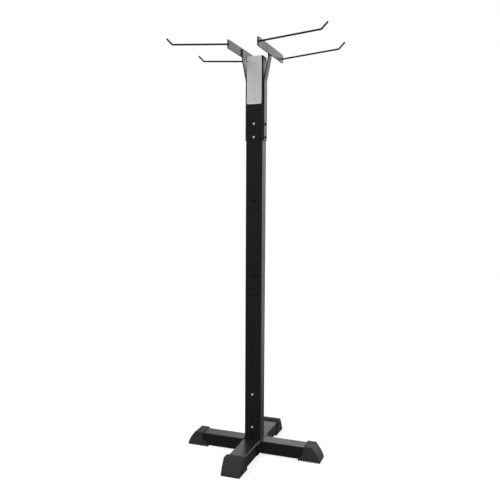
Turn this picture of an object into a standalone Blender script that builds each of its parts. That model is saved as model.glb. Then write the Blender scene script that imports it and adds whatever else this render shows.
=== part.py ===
"""Exercise mat rack: a free-standing post on a four-footed base, with four hooks at the top.

Metres, +Z up. The origin is on the floor, on the post's axis. +X points to the right-hand
hooks and -Y to the front, where the name plate is. Every piece is one closed solid.
"""
import math

import bmesh
import bpy
from mathutils import Matrix, Vector

# Gap that touching pieces keep, clearance of a sliding fit, and how far a cutter runs past its piece
SEAT = 0.0003
SLIDE_FIT = 0.0003
CUT_OVERRUN = 0.010

# Base tubes
BASE_WIDTH = 0.080
BASE_HEIGHT = 0.060
BASE_WALL = 0.002
BASE_CORNER = 0.005
BASE_HALF_LENGTH = 0.288

# Flanges on the arms' inner ends
FLANGE_THICKNESS = 0.005
FLANGE_MARGIN = 0.005
FLANGE_CORNER = 0.004
FLANGE_BOLT_CLEAR = 0.024
FLANGE_BOLT_EDGE = 0.022

# End shoes, measured along the tube from its end, outwards for the crest and toe and inwards for the rest
FOOT_SOLE = 0.006
FOOT_CHEEK = 0.004
FOOT_CROWN = 0.004
FOOT_TOE = 0.0447
FOOT_TOE_RISE = 0.010
FOOT_CREST = 0.0077
FOOT_COLLAR = 0.034
FOOT_LIP = 0.060
FOOT_LIP_HEIGHT = 0.012
FOOT_LIP_RISE = 0.033
FOOT_BULGE = 0.0035
FOOT_BULGE_STEPS = 6
FOOT_EDGE_ROUND = 0.003
FOOT_EDGE_STEPS = 2
FOOT_RIB_COUNT = 4
FOOT_RIB_WIDTH = 0.004
FOOT_RIB_HEIGHT = 0.002
FOOT_RIB_MARGIN = 0.002
FOOT_GROOVE_COUNT = 8
FOOT_GROOVE_WIDTH = 0.005
FOOT_GROOVE_DEPTH = 0.004
FOOT_END_LAND = 0.0075

# Post, of the base's tube, whose holes start above its lower end and stop below its head room
POST_WIDTH = BASE_WIDTH
POST_DEPTH = BASE_HEIGHT
POST_WALL = BASE_WALL
POST_CORNER = BASE_CORNER
LOWEST_HOLE = 0.032
HOLE_SPACING = 0.060
HOLE_PITCH = 0.350
HOLE_LEVELS = 5
HEAD_ROOM = 0.300

# Spigot that carries the post
SPIGOT_WALL = 0.003
SPIGOT_CORNER_EASE = 0.0015
SPIGOT_BOLT_SPACING = 0.160
SPIGOT_ABOVE_BOLT = 0.035
SPIGOT_HOLE_EASE = 0.0015

# Post cap
CAP_HEAD = 0.003
CAP_SKIRT = 0.018
CAP_EDGE = 0.0015

# Name plate, from above the upper bolts to just below the cap's top
PLATE_SIDE_MARGIN = 0.005
PLATE_RISE = 0.0885
PLATE_DROP = 0.002
PLATE_THICKNESS = 0.003
PLATE_CORNER = 0.005
PLATE_SCREW_INSETS = {"upper": 0.027, "lower": 0.0235}

# Straps, with heights from their lower bolt
STRAP_WIDTH = 0.042
STRAP_THICKNESS = 0.005
STRAP_TAIL = 0.015
STRAP_SPREAD = 0.0195
STRAP_LOWER_BEND = 0.256
STRAP_UPPER_BEND = 0.354
STRAP_TOP = 0.401

# Crossbars, which stand a little above the straps' tops
CROSSBAR_LENGTH = 0.380
CROSSBAR_HEIGHT = 0.040
CROSSBAR_THICKNESS = 0.006
CROSSBAR_CORNER = 0.010
CROSSBAR_STEP = 0.005

# Hooks
HOOK_RADIUS = 0.004
HOOK_INSET = 0.010
HOOK_LENGTH = 0.270
HOOK_RISE = math.radians(4.8)
HOOK_TIP_LENGTH = 0.039
HOOK_TIP_ANGLE = math.radians(41.0)
HOOK_BEND_RADIUS = 0.014
HOOK_BEND_STEPS = 5
HOOK_TAIL = 0.002
HOOK_ROUNDNESS = 4

# M8 fasteners
BOLT_RADIUS = 0.004
BOLT_HEAD_OVERHANG = 0.003
BOLT_HEAD_HEIGHT = 0.0044
BOLT_SOCKET = 0.0025
BOLT_SOCKET_DEPTH = 0.0026
BOLT_TIP = 0.003
BOLT_HOLE_CLEARANCE = 0.0005
THREAD_GAP = 0.0003
NUT_WALL = 0.0025
NUT_HEIGHT = 0.0065
WASHER_RIM = 0.004
WASHER_THICKNESS = 0.0016

# M4 plate screws
SCREW_RADIUS = 0.002
SCREW_HEAD_OVERHANG = 0.0015
SCREW_HEAD_HEIGHT = 0.0018
SCREW_SOCKET = 0.0012
SCREW_SOCKET_DEPTH = 0.001
SCREW_TIP = 0.004

# A button head's outline: share of its radius, and share of its height
BUTTON_HEAD = ((1.0, 0.0), (1.0, 0.3), (0.85, 0.72), (0.6, 1.0))

# Facets, the smallest corner radius, and the angle past which an edge shades sharp
CORNER_STEPS = 3
ROUND_FACETS = 12
SHARPEST_CORNER = 0.0003
SHARP_ANGLE = math.radians(35.0)

# Heights and places worked out from the sizes
BEAM_TOP = FOOT_SOLE + BASE_HEIGHT
BEAM_MIDDLE = FOOT_SOLE + BASE_HEIGHT / 2
FLANGE_INNER = BASE_WIDTH / 2 + SEAT
FLANGE_OUTER = FLANGE_INNER + FLANGE_THICKNESS
FLANGE_BOLT_PLACE = BASE_WIDTH / 2 + FLANGE_BOLT_CLEAR
ARM_START = FLANGE_OUTER + SEAT
POST_BOTTOM = BEAM_TOP + SEAT
HOLE_HEIGHTS = [
    POST_BOTTOM + LOWEST_HOLE + level * HOLE_PITCH + step * HOLE_SPACING
    for level in range(HOLE_LEVELS)
    for step in (0, 1)
]
UPPER_BOLT_HEIGHTS = {"lower": HOLE_HEIGHTS[-2], "upper": HOLE_HEIGHTS[-1]}
LOWER_SPIGOT_BOLT = (HOLE_HEIGHTS[0] + HOLE_HEIGHTS[1]) / 2
SPIGOT_BOLT_HEIGHTS = {"lower": LOWER_SPIGOT_BOLT, "upper": LOWER_SPIGOT_BOLT + SPIGOT_BOLT_SPACING}
POST_TOP = UPPER_BOLT_HEIGHTS["upper"] + HEAD_ROOM
RACK_TOP = POST_TOP + SEAT + CAP_HEAD
PLATE_TOP = RACK_TOP - PLATE_DROP
PLATE_BOTTOM = UPPER_BOLT_HEIGHTS["upper"] + PLATE_RISE
PLATE_BACK = POST_DEPTH / 2 + SEAT
PLATE_SCREW_HEIGHTS = {
    "upper": PLATE_TOP - PLATE_SCREW_INSETS["upper"],
    "lower": PLATE_BOTTOM + PLATE_SCREW_INSETS["lower"],
}
STRAP_INNER = POST_WIDTH / 2 + SEAT
STRAP_DATUM = UPPER_BOLT_HEIGHTS["lower"]
CROSSBAR_INNER = STRAP_INNER + STRAP_SPREAD + STRAP_THICKNESS + SEAT
CROSSBAR_OUTER = CROSSBAR_INNER + CROSSBAR_THICKNESS
CROSSBAR_MIDDLE = STRAP_DATUM + STRAP_TOP + CROSSBAR_STEP - CROSSBAR_HEIGHT / 2
HOOK_PLACE = CROSSBAR_LENGTH / 2 - HOOK_INSET
BOLT_HOLE = BOLT_RADIUS + BOLT_HOLE_CLEARANCE
SCREW_HOLE = SCREW_RADIUS + THREAD_GAP


def clear_scene():
    """Remove every object that the file starts with."""
    for item in list(bpy.data.objects):
        bpy.data.objects.remove(item, do_unlink=True)


def make_material(name, colour, roughness, metallic):
    """Return a Principled material."""
    material = bpy.data.materials.new(name)
    material.use_nodes = True
    shader = material.node_tree.nodes["Principled BSDF"]
    shader.inputs["Base Color"].default_value = (*colour, 1.0)
    shader.inputs["Roughness"].default_value = roughness
    shader.inputs["Metallic"].default_value = metallic
    return material


def add_object(name, bm, material):
    """Finish a bmesh as a named object with outward faces, smooth where it is round."""
    bmesh.ops.recalc_face_normals(bm, faces=bm.faces)
    mesh = bpy.data.meshes.new(name)
    bm.to_mesh(mesh)
    bm.free()
    mesh.materials.append(material)
    mesh.shade_smooth()
    mesh.set_sharp_from_angle(angle=SHARP_ANGLE)
    item = bpy.data.objects.new(name, mesh)
    bpy.context.scene.collection.objects.link(item)
    return item


def corner_inside(radius, inset):
    """Corner radius of an outline drawn in by an inset, which stays above the smallest."""
    return max(radius - inset, SHARPEST_CORNER)


def rounded_rectangle(width, height, radius):
    """Points of a rectangle about the origin, with each corner an arc of the radius."""
    points = []
    for turn in range(4):
        sign_x = 1 if turn in (0, 3) else -1
        sign_y = 1 if turn in (0, 1) else -1
        centre_x = sign_x * (width / 2 - radius)
        centre_y = sign_y * (height / 2 - radius)
        for step in range(CORNER_STEPS + 1):
            angle = math.pi / 2 * (turn + step / CORNER_STEPS)
            points.append((centre_x + radius * math.cos(angle), centre_y + radius * math.sin(angle)))
    return points


def circle(radius):
    """Points of a circle about the origin."""
    angles = [2 * math.pi * i / ROUND_FACETS for i in range(ROUND_FACETS)]
    return [(radius * math.cos(angle), radius * math.sin(angle)) for angle in angles]


def hexagon(half_width):
    """Points of a hexagon with the given half width across flats, at a circle's angles."""
    points = []
    for i in range(ROUND_FACETS):
        angle = 2 * math.pi * i / ROUND_FACETS
        off_flat = (angle + math.pi / 6) % (math.pi / 3) - math.pi / 6
        reach = half_width / math.cos(off_flat)
        points.append((reach * math.cos(angle), reach * math.sin(angle)))
    return points


def loft(bm, rings, joined=False):
    """Skin a row of equal rings, and cap the ends or join the last ring to the first."""
    rows = [[bm.verts.new(point) for point in ring] for ring in rings]
    count = len(rows[0])
    pairs = list(zip(rows, rows[1:]))
    if joined:
        pairs.append((rows[-1], rows[0]))
    for low, high in pairs:
        for i in range(count):
            j = (i + 1) % count
            bm.faces.new((low[i], low[j], high[j], high[i]))
    if not joined:
        bm.faces.new(list(reversed(rows[0])))
        bm.faces.new(rows[-1])


def stack(levels):
    """A bmesh of outlines in the XY plane, each at its height, skinned in turn."""
    bm = bmesh.new()
    loft(bm, [[(x, y, z) for x, y in outline] for outline, z in levels])
    return bm


def sleeve(outer, inner, low, high):
    """A bmesh of an outline with a hole of as many points, extruded along Z."""
    bm = bmesh.new()
    corners = ((outer, low), (outer, high), (inner, high), (inner, low))
    loft(bm, [[(x, y, z) for x, y in outline] for outline, z in corners], joined=True)
    return bm


def aim(axis):
    """Rotation that turns +Z to the given axis, with the local X kept level."""
    direction = Vector(axis).normalized()
    level = Vector((0, 0, 1)).cross(direction)
    if level.length < SEAT:
        return Matrix.Identity(4)
    level.normalize()
    return Matrix((level, direction.cross(level), direction)).transposed().to_4x4()


def place(item, position, axis):
    """Put an object's origin at a position, with its +Z along an axis."""
    item.matrix_world = Matrix.Translation(Vector(position)) @ aim(axis)


def add_rod(bm, centre, axis, length, radius):
    """Add a closed cylinder, centred on a point, to a bmesh."""
    frame = Matrix.Translation(Vector(centre)) @ aim(axis)
    ends = (-length / 2, length / 2)
    loft(bm, [[frame @ Vector((x, y, z)) for x, y in circle(radius)] for z in ends])


def cut(item, cutter_bm, name):
    """Cut a bmesh, given in the item's own axes, from an object."""
    cutter = add_object(f"{item.name}_{name}_cutter", cutter_bm, item.data.materials[0])
    cutter.matrix_world = item.matrix_world
    cutter.hide_render = True
    cutter.display_type = "WIRE"
    hole = item.modifiers.new(name, "BOOLEAN")
    hole.operation = "DIFFERENCE"
    hole.solver = "EXACT"
    hole.object = cutter
    shading = item.modifiers.new("flat_faces_stay_flat", "WEIGHTED_NORMAL")
    shading.keep_sharp = True


def tube(name, width, height, wall, corner, low, high, material):
    """Rectangular tube along its own Z."""
    outer = rounded_rectangle(width, height, corner)
    inner = rounded_rectangle(width - 2 * wall, height - 2 * wall, corner_inside(corner, wall))
    return add_object(name, sleeve(outer, inner, low, high), material)


def base_beam(material):
    """Front-to-back tube, drilled for the bolts that pass through both flanges."""
    half = BASE_HALF_LENGTH
    item = tube("base_beam", BASE_WIDTH, BASE_HEIGHT, BASE_WALL, BASE_CORNER, -half, half, material)
    place(item, (0, 0, BEAM_MIDDLE), (0, 1, 0))
    holes = bmesh.new()
    for end in (-1, 1):
        centre = (0, 0, end * FLANGE_BOLT_PLACE)
        add_rod(holes, centre, (1, 0, 0), BASE_WIDTH + 2 * CUT_OVERRUN, BOLT_HOLE)
    cut(item, holes, "bolt_holes")


def arm(name, side, material):
    """Side tube from its flange to the end inside its shoe."""
    length = BASE_HALF_LENGTH - ARM_START
    item = tube(name, BASE_WIDTH, BASE_HEIGHT, BASE_WALL, BASE_CORNER, 0, length, material)
    place(item, (side * ARM_START, 0, BEAM_MIDDLE), (side, 0, 0))


def flange(name, side, material):
    """Plate on an arm's inner end, with a bolt hole on each side of the arm."""
    half_length = FLANGE_BOLT_PLACE + FLANGE_BOLT_EDGE
    outline = rounded_rectangle(2 * half_length, BASE_HEIGHT - 2 * FLANGE_MARGIN, FLANGE_CORNER)
    item = add_object(name, stack(((outline, 0), (outline, FLANGE_THICKNESS))), material)
    place(item, (side * FLANGE_INNER, 0, BEAM_MIDDLE), (side, 0, 0))
    holes = bmesh.new()
    for end in (-1, 1):
        centre = (end * FLANGE_BOLT_PLACE, 0, FLANGE_THICKNESS / 2)
        add_rod(holes, centre, (0, 0, 1), FLANGE_THICKNESS + 2 * CUT_OVERRUN, BOLT_HOLE)
    cut(item, holes, "bolt_holes")


def foot_sole():
    """Underside of a shoe from its lip to its toe, with crosswise grooves between two end lands."""
    lip, toe = BASE_HALF_LENGTH - FOOT_LIP, BASE_HALF_LENGTH + FOOT_TOE
    step = (toe - lip - 2 * FOOT_END_LAND - FOOT_GROOVE_WIDTH) / (FOOT_GROOVE_COUNT - 1)
    points = [(lip, 0.0)]
    for i in range(FOOT_GROOVE_COUNT):
        near = lip + FOOT_END_LAND + step * i
        far = near + FOOT_GROOVE_WIDTH
        points += [(near, 0.0), (near, FOOT_GROOVE_DEPTH), (far, FOOT_GROOVE_DEPTH), (far, 0.0)]
    return points


def foot_front(crown):
    """Outer face of a shoe: upright at its toe, then bulged like a shallow bow up to its crest."""
    toe = BASE_HALF_LENGTH + FOOT_TOE
    start = Vector((toe, FOOT_TOE_RISE))
    crest = Vector((BASE_HALF_LENGTH + FOOT_CREST, crown))
    run = crest - start
    outward = Vector((run.y, -run.x)).normalized()
    points = [(toe, 0.0)]
    for i in range(FOOT_BULGE_STEPS + 1):
        share = i / FOOT_BULGE_STEPS
        points.append(tuple(start + run * share + outward * FOOT_BULGE * math.sin(math.pi * share)))
    return points


def foot_top(crown):
    """Ribbed top of a shoe from its crest to its collar, and the collar's edge down to the lip."""
    crest, collar = BASE_HALF_LENGTH + FOOT_CREST, BASE_HALF_LENGTH - FOOT_COLLAR
    step = (crest - collar - 2 * FOOT_RIB_MARGIN - FOOT_RIB_WIDTH) / (FOOT_RIB_COUNT - 1)
    points = []
    for i in range(FOOT_RIB_COUNT):
        far = crest - FOOT_RIB_MARGIN - i * step
        near = far - FOOT_RIB_WIDTH
        top = crown + FOOT_RIB_HEIGHT
        points += [(far, crown), (far, top), (near, top), (near, crown)]
    lip = BASE_HALF_LENGTH - FOOT_LIP
    return points + [(collar, crown), (collar, FOOT_LIP_RISE), (lip, FOOT_LIP_HEIGHT)]


def foot(name, axis, material):
    """Moulded shoe pushed over a tube's end: a side outline with rounded outer corners and a pocket."""
    crown = BEAM_TOP + FOOT_CROWN
    half = BASE_WIDTH / 2 + SLIDE_FIT + FOOT_CHEEK
    sole, front = foot_sole(), foot_front(crown)
    outline = sole + front + foot_top(crown)
    bm = stack(((outline, -half), (outline, half)))
    bm.verts.ensure_lookup_table()
    rim = []
    for cheek in (0, len(outline)):
        row = bm.verts[cheek + len(sole):cheek + len(sole) + len(front)]
        rim += [bm.edges.get(pair) for pair in zip(row, row[1:])]
    bmesh.ops.bevel(
        bm, geom=rim, offset=FOOT_EDGE_ROUND, segments=FOOT_EDGE_STEPS, profile=0.5, affect="EDGES"
    )
    item = add_object(name, bm, material)
    up = Vector((0, 0, 1))
    item.matrix_world = Matrix((Vector(axis), up, Vector(axis).cross(up))).transposed().to_4x4()
    pocket = rounded_rectangle(
        BASE_HEIGHT + 2 * SLIDE_FIT, BASE_WIDTH + 2 * SLIDE_FIT, BASE_CORNER + SLIDE_FIT
    )
    mouth, stop = BASE_HALF_LENGTH - FOOT_LIP - CUT_OVERRUN, BASE_HALF_LENGTH + SEAT
    cutter = bmesh.new()
    loft(cutter, [[(x, BEAM_MIDDLE + y, z) for y, z in pocket] for x in (mouth, stop)])
    cut(item, cutter, "pocket")


def post_spigot(material):
    """Inner tube that stands on the beam and carries the post, open behind the post's holes."""
    inset = POST_WALL + SLIDE_FIT
    width, depth = POST_WIDTH - 2 * inset, POST_DEPTH - 2 * inset
    corner = corner_inside(POST_CORNER, inset) + SPIGOT_CORNER_EASE
    top = SPIGOT_BOLT_HEIGHTS["upper"] + SPIGOT_ABOVE_BOLT
    item = tube("post_spigot", width, depth, SPIGOT_WALL, corner, POST_BOTTOM, top, material)
    front_holes, side_holes = bmesh.new(), bmesh.new()
    for height in SPIGOT_BOLT_HEIGHTS.values():
        add_rod(front_holes, (0, 0, height), (0, 1, 0), POST_DEPTH + 2 * CUT_OVERRUN, BOLT_HOLE)
    for height in HOLE_HEIGHTS:
        radius = BOLT_HOLE + SPIGOT_HOLE_EASE
        add_rod(front_holes, (0, 0, height), (0, 1, 0), POST_DEPTH + 2 * CUT_OVERRUN, radius)
        add_rod(side_holes, (0, 0, height), (1, 0, 0), POST_WIDTH + 2 * CUT_OVERRUN, radius)
    cut(item, front_holes, "front_holes")
    cut(item, side_holes, "side_holes")


def post(material):
    """Upright tube with hole pairs in all four faces, and holes for the spigot's bolts and the plate."""
    item = tube("post", POST_WIDTH, POST_DEPTH, POST_WALL, POST_CORNER, POST_BOTTOM, POST_TOP, material)
    front_holes = bmesh.new()
    for height in HOLE_HEIGHTS + list(SPIGOT_BOLT_HEIGHTS.values()):
        add_rod(front_holes, (0, 0, height), (0, 1, 0), POST_DEPTH + 2 * CUT_OVERRUN, BOLT_HOLE)
    for height in PLATE_SCREW_HEIGHTS.values():
        centre = (0, -POST_DEPTH / 2, height)
        add_rod(front_holes, centre, (0, 1, 0), 2 * CUT_OVERRUN, SCREW_HOLE)
    cut(item, front_holes, "front_holes")
    side_holes = bmesh.new()
    for height in HOLE_HEIGHTS:
        add_rod(side_holes, (0, 0, height), (1, 0, 0), POST_WIDTH + 2 * CUT_OVERRUN, BOLT_HOLE)
    cut(item, side_holes, "side_holes")


def post_cap(material):
    """Plug with a flat head that covers the tube's end and a skirt inside it."""
    seat = POST_TOP + SEAT
    inset = POST_WALL + SLIDE_FIT
    skirt = rounded_rectangle(
        POST_WIDTH - 2 * inset, POST_DEPTH - 2 * inset, corner_inside(POST_CORNER, inset) + SPIGOT_CORNER_EASE
    )
    head = rounded_rectangle(POST_WIDTH, POST_DEPTH, POST_CORNER)
    eased = rounded_rectangle(
        POST_WIDTH - 2 * CAP_EDGE, POST_DEPTH - 2 * CAP_EDGE, corner_inside(POST_CORNER, CAP_EDGE)
    )
    levels = [(skirt, seat - CAP_SKIRT), (skirt, seat), (head, seat)]
    levels += [(head, RACK_TOP - CAP_EDGE), (eased, RACK_TOP)]
    add_object("post_cap", stack(levels), material)


def name_plate(material):
    """Bare plate on the post's front face."""
    height = PLATE_TOP - PLATE_BOTTOM
    outline = rounded_rectangle(POST_WIDTH - 2 * PLATE_SIDE_MARGIN, height, PLATE_CORNER)
    item = add_object("name_plate", stack(((outline, 0), (outline, PLATE_THICKNESS))), material)
    middle = PLATE_BOTTOM + height / 2
    place(item, (0, -PLATE_BACK, middle), (0, -1, 0))
    holes = bmesh.new()
    for level in PLATE_SCREW_HEIGHTS.values():
        centre = (0, level - middle, PLATE_THICKNESS / 2)
        add_rod(holes, centre, (0, 0, 1), PLATE_THICKNESS + 2 * CUT_OVERRUN, SCREW_HOLE)
    cut(item, holes, "screw_holes")


def strap(name, side, material):
    """Flat bar that lies on the post's side, leans outwards, and stands upright again at its top."""
    thick = STRAP_THICKNESS
    lean = math.atan2(STRAP_SPREAD, STRAP_UPPER_BEND - STRAP_LOWER_BEND)
    shift = thick * math.tan(lean / 2)
    spread = STRAP_SPREAD
    inner = [(0, -STRAP_TAIL), (0, STRAP_LOWER_BEND), (spread, STRAP_UPPER_BEND), (spread, STRAP_TOP)]
    outer = [
        (spread + thick, STRAP_TOP), (spread + thick, STRAP_UPPER_BEND - shift),
        (thick, STRAP_LOWER_BEND - shift), (thick, -STRAP_TAIL),
    ]
    profile = [(side * (STRAP_INNER + x), STRAP_DATUM + z) for x, z in inner + outer]
    bm = bmesh.new()
    loft(bm, [[(x, y, z) for x, z in profile] for y in (-STRAP_WIDTH / 2, STRAP_WIDTH / 2)])
    item = add_object(name, bm, material)
    holes = bmesh.new()
    for height in UPPER_BOLT_HEIGHTS.values():
        centre = (side * (STRAP_INNER + thick / 2), 0, height)
        add_rod(holes, centre, (1, 0, 0), thick + 2 * CUT_OVERRUN, BOLT_HOLE)
    cut(item, holes, "bolt_holes")


def crossbar(name, side, material):
    """Flat bar outside a strap's top, bored along the hooks' slope for their rods."""
    outline = rounded_rectangle(CROSSBAR_LENGTH, CROSSBAR_HEIGHT, CROSSBAR_CORNER)
    item = add_object(name, stack(((outline, 0), (outline, CROSSBAR_THICKNESS))), material)
    place(item, (side * CROSSBAR_INNER, 0, CROSSBAR_MIDDLE), (side, 0, 0))
    holes = bmesh.new()
    slope = (0, math.sin(HOOK_RISE), math.cos(HOOK_RISE))
    for end in (-1, 1):
        centre = (end * HOOK_PLACE, 0, CROSSBAR_THICKNESS)
        add_rod(holes, centre, slope, 2 * (CROSSBAR_THICKNESS + CUT_OVERRUN), HOOK_RADIUS + SEAT)
    cut(item, holes, "rod_holes")


def hook_path():
    """Centre line of a hook: distance out from the crossbar's outer face, and height over its middle."""
    along = Vector((math.cos(HOOK_RISE), math.sin(HOOK_RISE)))
    across = Vector((-along.y, along.x))
    tip_slope = HOOK_RISE + HOOK_TIP_ANGLE
    corner = along * HOOK_LENGTH
    trim = HOOK_BEND_RADIUS * math.tan(HOOK_TIP_ANGLE / 2)
    centre = corner - along * trim + across * HOOK_BEND_RADIUS
    points = [-along * (CROSSBAR_THICKNESS / along.x + HOOK_TAIL)]
    for step in range(HOOK_BEND_STEPS + 1):
        angle = HOOK_RISE - math.pi / 2 + HOOK_TIP_ANGLE * step / HOOK_BEND_STEPS
        points.append(centre + HOOK_BEND_RADIUS * Vector((math.cos(angle), math.sin(angle))))
    points.append(corner + HOOK_TIP_LENGTH * Vector((math.cos(tip_slope), math.sin(tip_slope))))
    return points


def hook(name, side, end, material):
    """Round rod through a crossbar's end, as a curve with a round bevel and filled ends."""
    curve = bpy.data.curves.new(name, "CURVE")
    curve.dimensions = "3D"
    curve.bevel_depth = HOOK_RADIUS
    curve.bevel_resolution = HOOK_ROUNDNESS
    curve.use_fill_caps = True
    points = hook_path()
    spline = curve.splines.new("POLY")
    spline.points.add(len(points) - 1)
    for target, point in zip(spline.points, points):
        target.co = (side * (CROSSBAR_OUTER + point.x), end * HOOK_PLACE, CROSSBAR_MIDDLE + point.y, 1.0)
    curve.materials.append(material)
    bpy.context.scene.collection.objects.link(bpy.data.objects.new(name, curve))


def button_head_bolt(name, position, axis, length, sizes, material):
    """Bolt with a button head; the position is under its head, and the axis points out of it."""
    radius, overhang, head_height, socket, socket_depth = sizes
    levels = [(circle(radius), -length), (circle(radius), 0.0)]
    for reach, rise in BUTTON_HEAD:
        levels.append((circle(reach * (radius + overhang)), rise * head_height))
    levels += [(hexagon(socket), head_height), (hexagon(socket), head_height - socket_depth)]
    place(add_object(name, stack(levels), material), position, axis)


def bolt(name, position, axis, length, material):
    """M8 bolt."""
    sizes = (BOLT_RADIUS, BOLT_HEAD_OVERHANG, BOLT_HEAD_HEIGHT, BOLT_SOCKET, BOLT_SOCKET_DEPTH)
    button_head_bolt(name, position, axis, length, sizes, material)


def nut(name, position, axis, material):
    """M8 nut; the position is on its near face, and it reaches along the axis."""
    body = sleeve(hexagon(BOLT_RADIUS + NUT_WALL), circle(BOLT_RADIUS + THREAD_GAP), 0, NUT_HEIGHT)
    place(add_object(name, body, material), position, axis)


def washer(name, position, axis, material):
    """M8 washer; the position is on its near face, and it reaches along the axis."""
    body = sleeve(circle(BOLT_RADIUS + WASHER_RIM), circle(BOLT_RADIUS + THREAD_GAP), 0, WASHER_THICKNESS)
    place(add_object(name, body, material), position, axis)


def plate_screws(material):
    """M4 screws that hold the name plate."""
    sizes = (SCREW_RADIUS, SCREW_HEAD_OVERHANG, SCREW_HEAD_HEIGHT, SCREW_SOCKET, SCREW_SOCKET_DEPTH)
    face = PLATE_BACK + PLATE_THICKNESS + SEAT
    length = 2 * SEAT + PLATE_THICKNESS + POST_WALL + SCREW_TIP
    for level, height in PLATE_SCREW_HEIGHTS.items():
        button_head_bolt(f"plate_screw_{level}", (0, -face, height), (0, -1, 0), length, sizes, material)


def strap_fasteners(side, label, bolt_material, nut_material):
    """Bolts through a strap into nuts inside the post's side wall."""
    face = side * (STRAP_INNER + STRAP_THICKNESS + SEAT)
    wall = side * (POST_WIDTH / 2 - POST_WALL - SEAT)
    length = abs(face - wall) + NUT_HEIGHT + BOLT_TIP
    for level, height in UPPER_BOLT_HEIGHTS.items():
        bolt(f"strap_bolt_{label}_{level}", (face, 0, height), (side, 0, 0), length, bolt_material)
        nut(f"strap_nut_{label}_{level}", (wall, 0, height), (-side, 0, 0), nut_material)


def face_fasteners(side, label, bolt_material, nut_material):
    """Bolts in the post's front or rear face, with nuts inside the wall."""
    face = side * (POST_DEPTH / 2 + SEAT)
    wall = side * (POST_DEPTH / 2 - POST_WALL - SEAT)
    length = abs(face - wall) + NUT_HEIGHT + BOLT_TIP
    for level, height in UPPER_BOLT_HEIGHTS.items():
        bolt(f"face_bolt_{label}_{level}", (0, face, height), (0, side, 0), length, bolt_material)
        nut(f"face_nut_{label}_{level}", (0, wall, height), (0, -side, 0), nut_material)


def spigot_fasteners(material):
    """Bolts from front to back through the post and the spigot, with washers and nuts behind."""
    face = POST_DEPTH / 2 + SEAT
    nut_face = face + WASHER_THICKNESS + SEAT
    length = face + nut_face + NUT_HEIGHT + BOLT_TIP
    for level, height in SPIGOT_BOLT_HEIGHTS.items():
        bolt(f"spigot_bolt_{level}", (0, -face, height), (0, -1, 0), length, material)
        washer(f"spigot_washer_{level}", (0, face, height), (0, 1, 0), material)
        nut(f"spigot_nut_{level}", (0, nut_face, height), (0, 1, 0), material)


def flange_fasteners(end, label, material):
    """Bolt from right to left through both flanges and the beam, with washers and a nut."""
    y = end * FLANGE_BOLT_PLACE
    face = FLANGE_OUTER + SEAT
    head_face = face + WASHER_THICKNESS + SEAT
    length = 2 * head_face + NUT_HEIGHT + BOLT_TIP
    bolt(f"flange_bolt_{label}", (head_face, y, BEAM_MIDDLE), (1, 0, 0), length, material)
    washer(f"flange_washer_right_{label}", (face, y, BEAM_MIDDLE), (1, 0, 0), material)
    washer(f"flange_washer_left_{label}", (-face, y, BEAM_MIDDLE), (-1, 0, 0), material)
    nut(f"flange_nut_{label}", (-head_face, y, BEAM_MIDDLE), (-1, 0, 0), material)


def build():
    """Make every piece of the rack."""
    clear_scene()
    black = make_material("black_paint", (0.018, 0.018, 0.019), 0.42, 0.0)
    moulded = make_material("moulded_plastic", (0.050, 0.050, 0.052), 0.62, 0.0)
    pale = make_material("plate_metal", (0.55, 0.55, 0.55), 0.38, 0.9)
    bright = make_material("bright_zinc", (0.72, 0.72, 0.70), 0.28, 1.0)
    dark = make_material("dark_zinc", (0.040, 0.040, 0.042), 0.36, 0.8)
    base_beam(black)
    post_spigot(black)
    post(black)
    post_cap(moulded)
    name_plate(pale)
    plate_screws(bright)
    spigot_fasteners(bright)
    for end, depth_name in ((-1, "front"), (1, "rear")):
        foot(f"foot_{depth_name}", (0, end, 0), moulded)
        flange_fasteners(end, depth_name, dark)
        face_fasteners(end, depth_name, bright, bright)
    for side, side_name in ((-1, "left"), (1, "right")):
        arm(f"arm_{side_name}", side, black)
        flange(f"flange_{side_name}", side, black)
        foot(f"foot_{side_name}", (side, 0, 0), moulded)
        strap(f"strap_{side_name}", side, black)
        strap_fasteners(side, side_name, dark, bright)
        crossbar(f"crossbar_{side_name}", side, black)
        for end, depth_name in ((-1, "front"), (1, "rear")):
            hook(f"hook_{side_name}_{depth_name}", side, end, black)


build()
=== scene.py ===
"""Exercise mat rack: the finished look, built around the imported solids.

Lengths are in metres and +Z is up. The origin is on the floor, on the post's axis, with the
name plate towards -Y. A finished piece takes its place from the box of the solid it stands for.
"""
import logging
import math
from dataclasses import dataclass, field
from enum import Enum
from functools import reduce
from typing import Callable, Iterable, Sequence

import bmesh
import bpy
import numpy as np
from bpy.types import ID, Material, Mesh, Node, NodeSocket, NodeTree, Object, bpy_prop_collection
from numpy.typing import NDArray
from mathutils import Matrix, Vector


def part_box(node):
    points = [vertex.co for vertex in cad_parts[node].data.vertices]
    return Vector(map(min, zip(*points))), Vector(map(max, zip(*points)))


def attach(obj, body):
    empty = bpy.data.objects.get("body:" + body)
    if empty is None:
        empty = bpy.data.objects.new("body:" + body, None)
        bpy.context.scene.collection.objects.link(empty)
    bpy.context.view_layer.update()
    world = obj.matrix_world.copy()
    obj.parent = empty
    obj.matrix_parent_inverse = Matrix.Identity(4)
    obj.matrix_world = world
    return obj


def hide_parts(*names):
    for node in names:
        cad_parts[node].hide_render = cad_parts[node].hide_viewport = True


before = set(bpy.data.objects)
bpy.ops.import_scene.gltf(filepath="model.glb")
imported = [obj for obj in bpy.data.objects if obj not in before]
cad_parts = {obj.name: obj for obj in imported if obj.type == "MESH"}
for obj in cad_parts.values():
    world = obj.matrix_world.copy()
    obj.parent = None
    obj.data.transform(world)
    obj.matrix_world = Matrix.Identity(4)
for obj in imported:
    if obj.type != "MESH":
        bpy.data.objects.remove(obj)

LOG = logging.getLogger("mat_rack")

Points = NDArray[np.float64]
Faces = NDArray[np.int64]
Map = Callable[[Points], Points]
Span = tuple[float, float]

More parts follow.
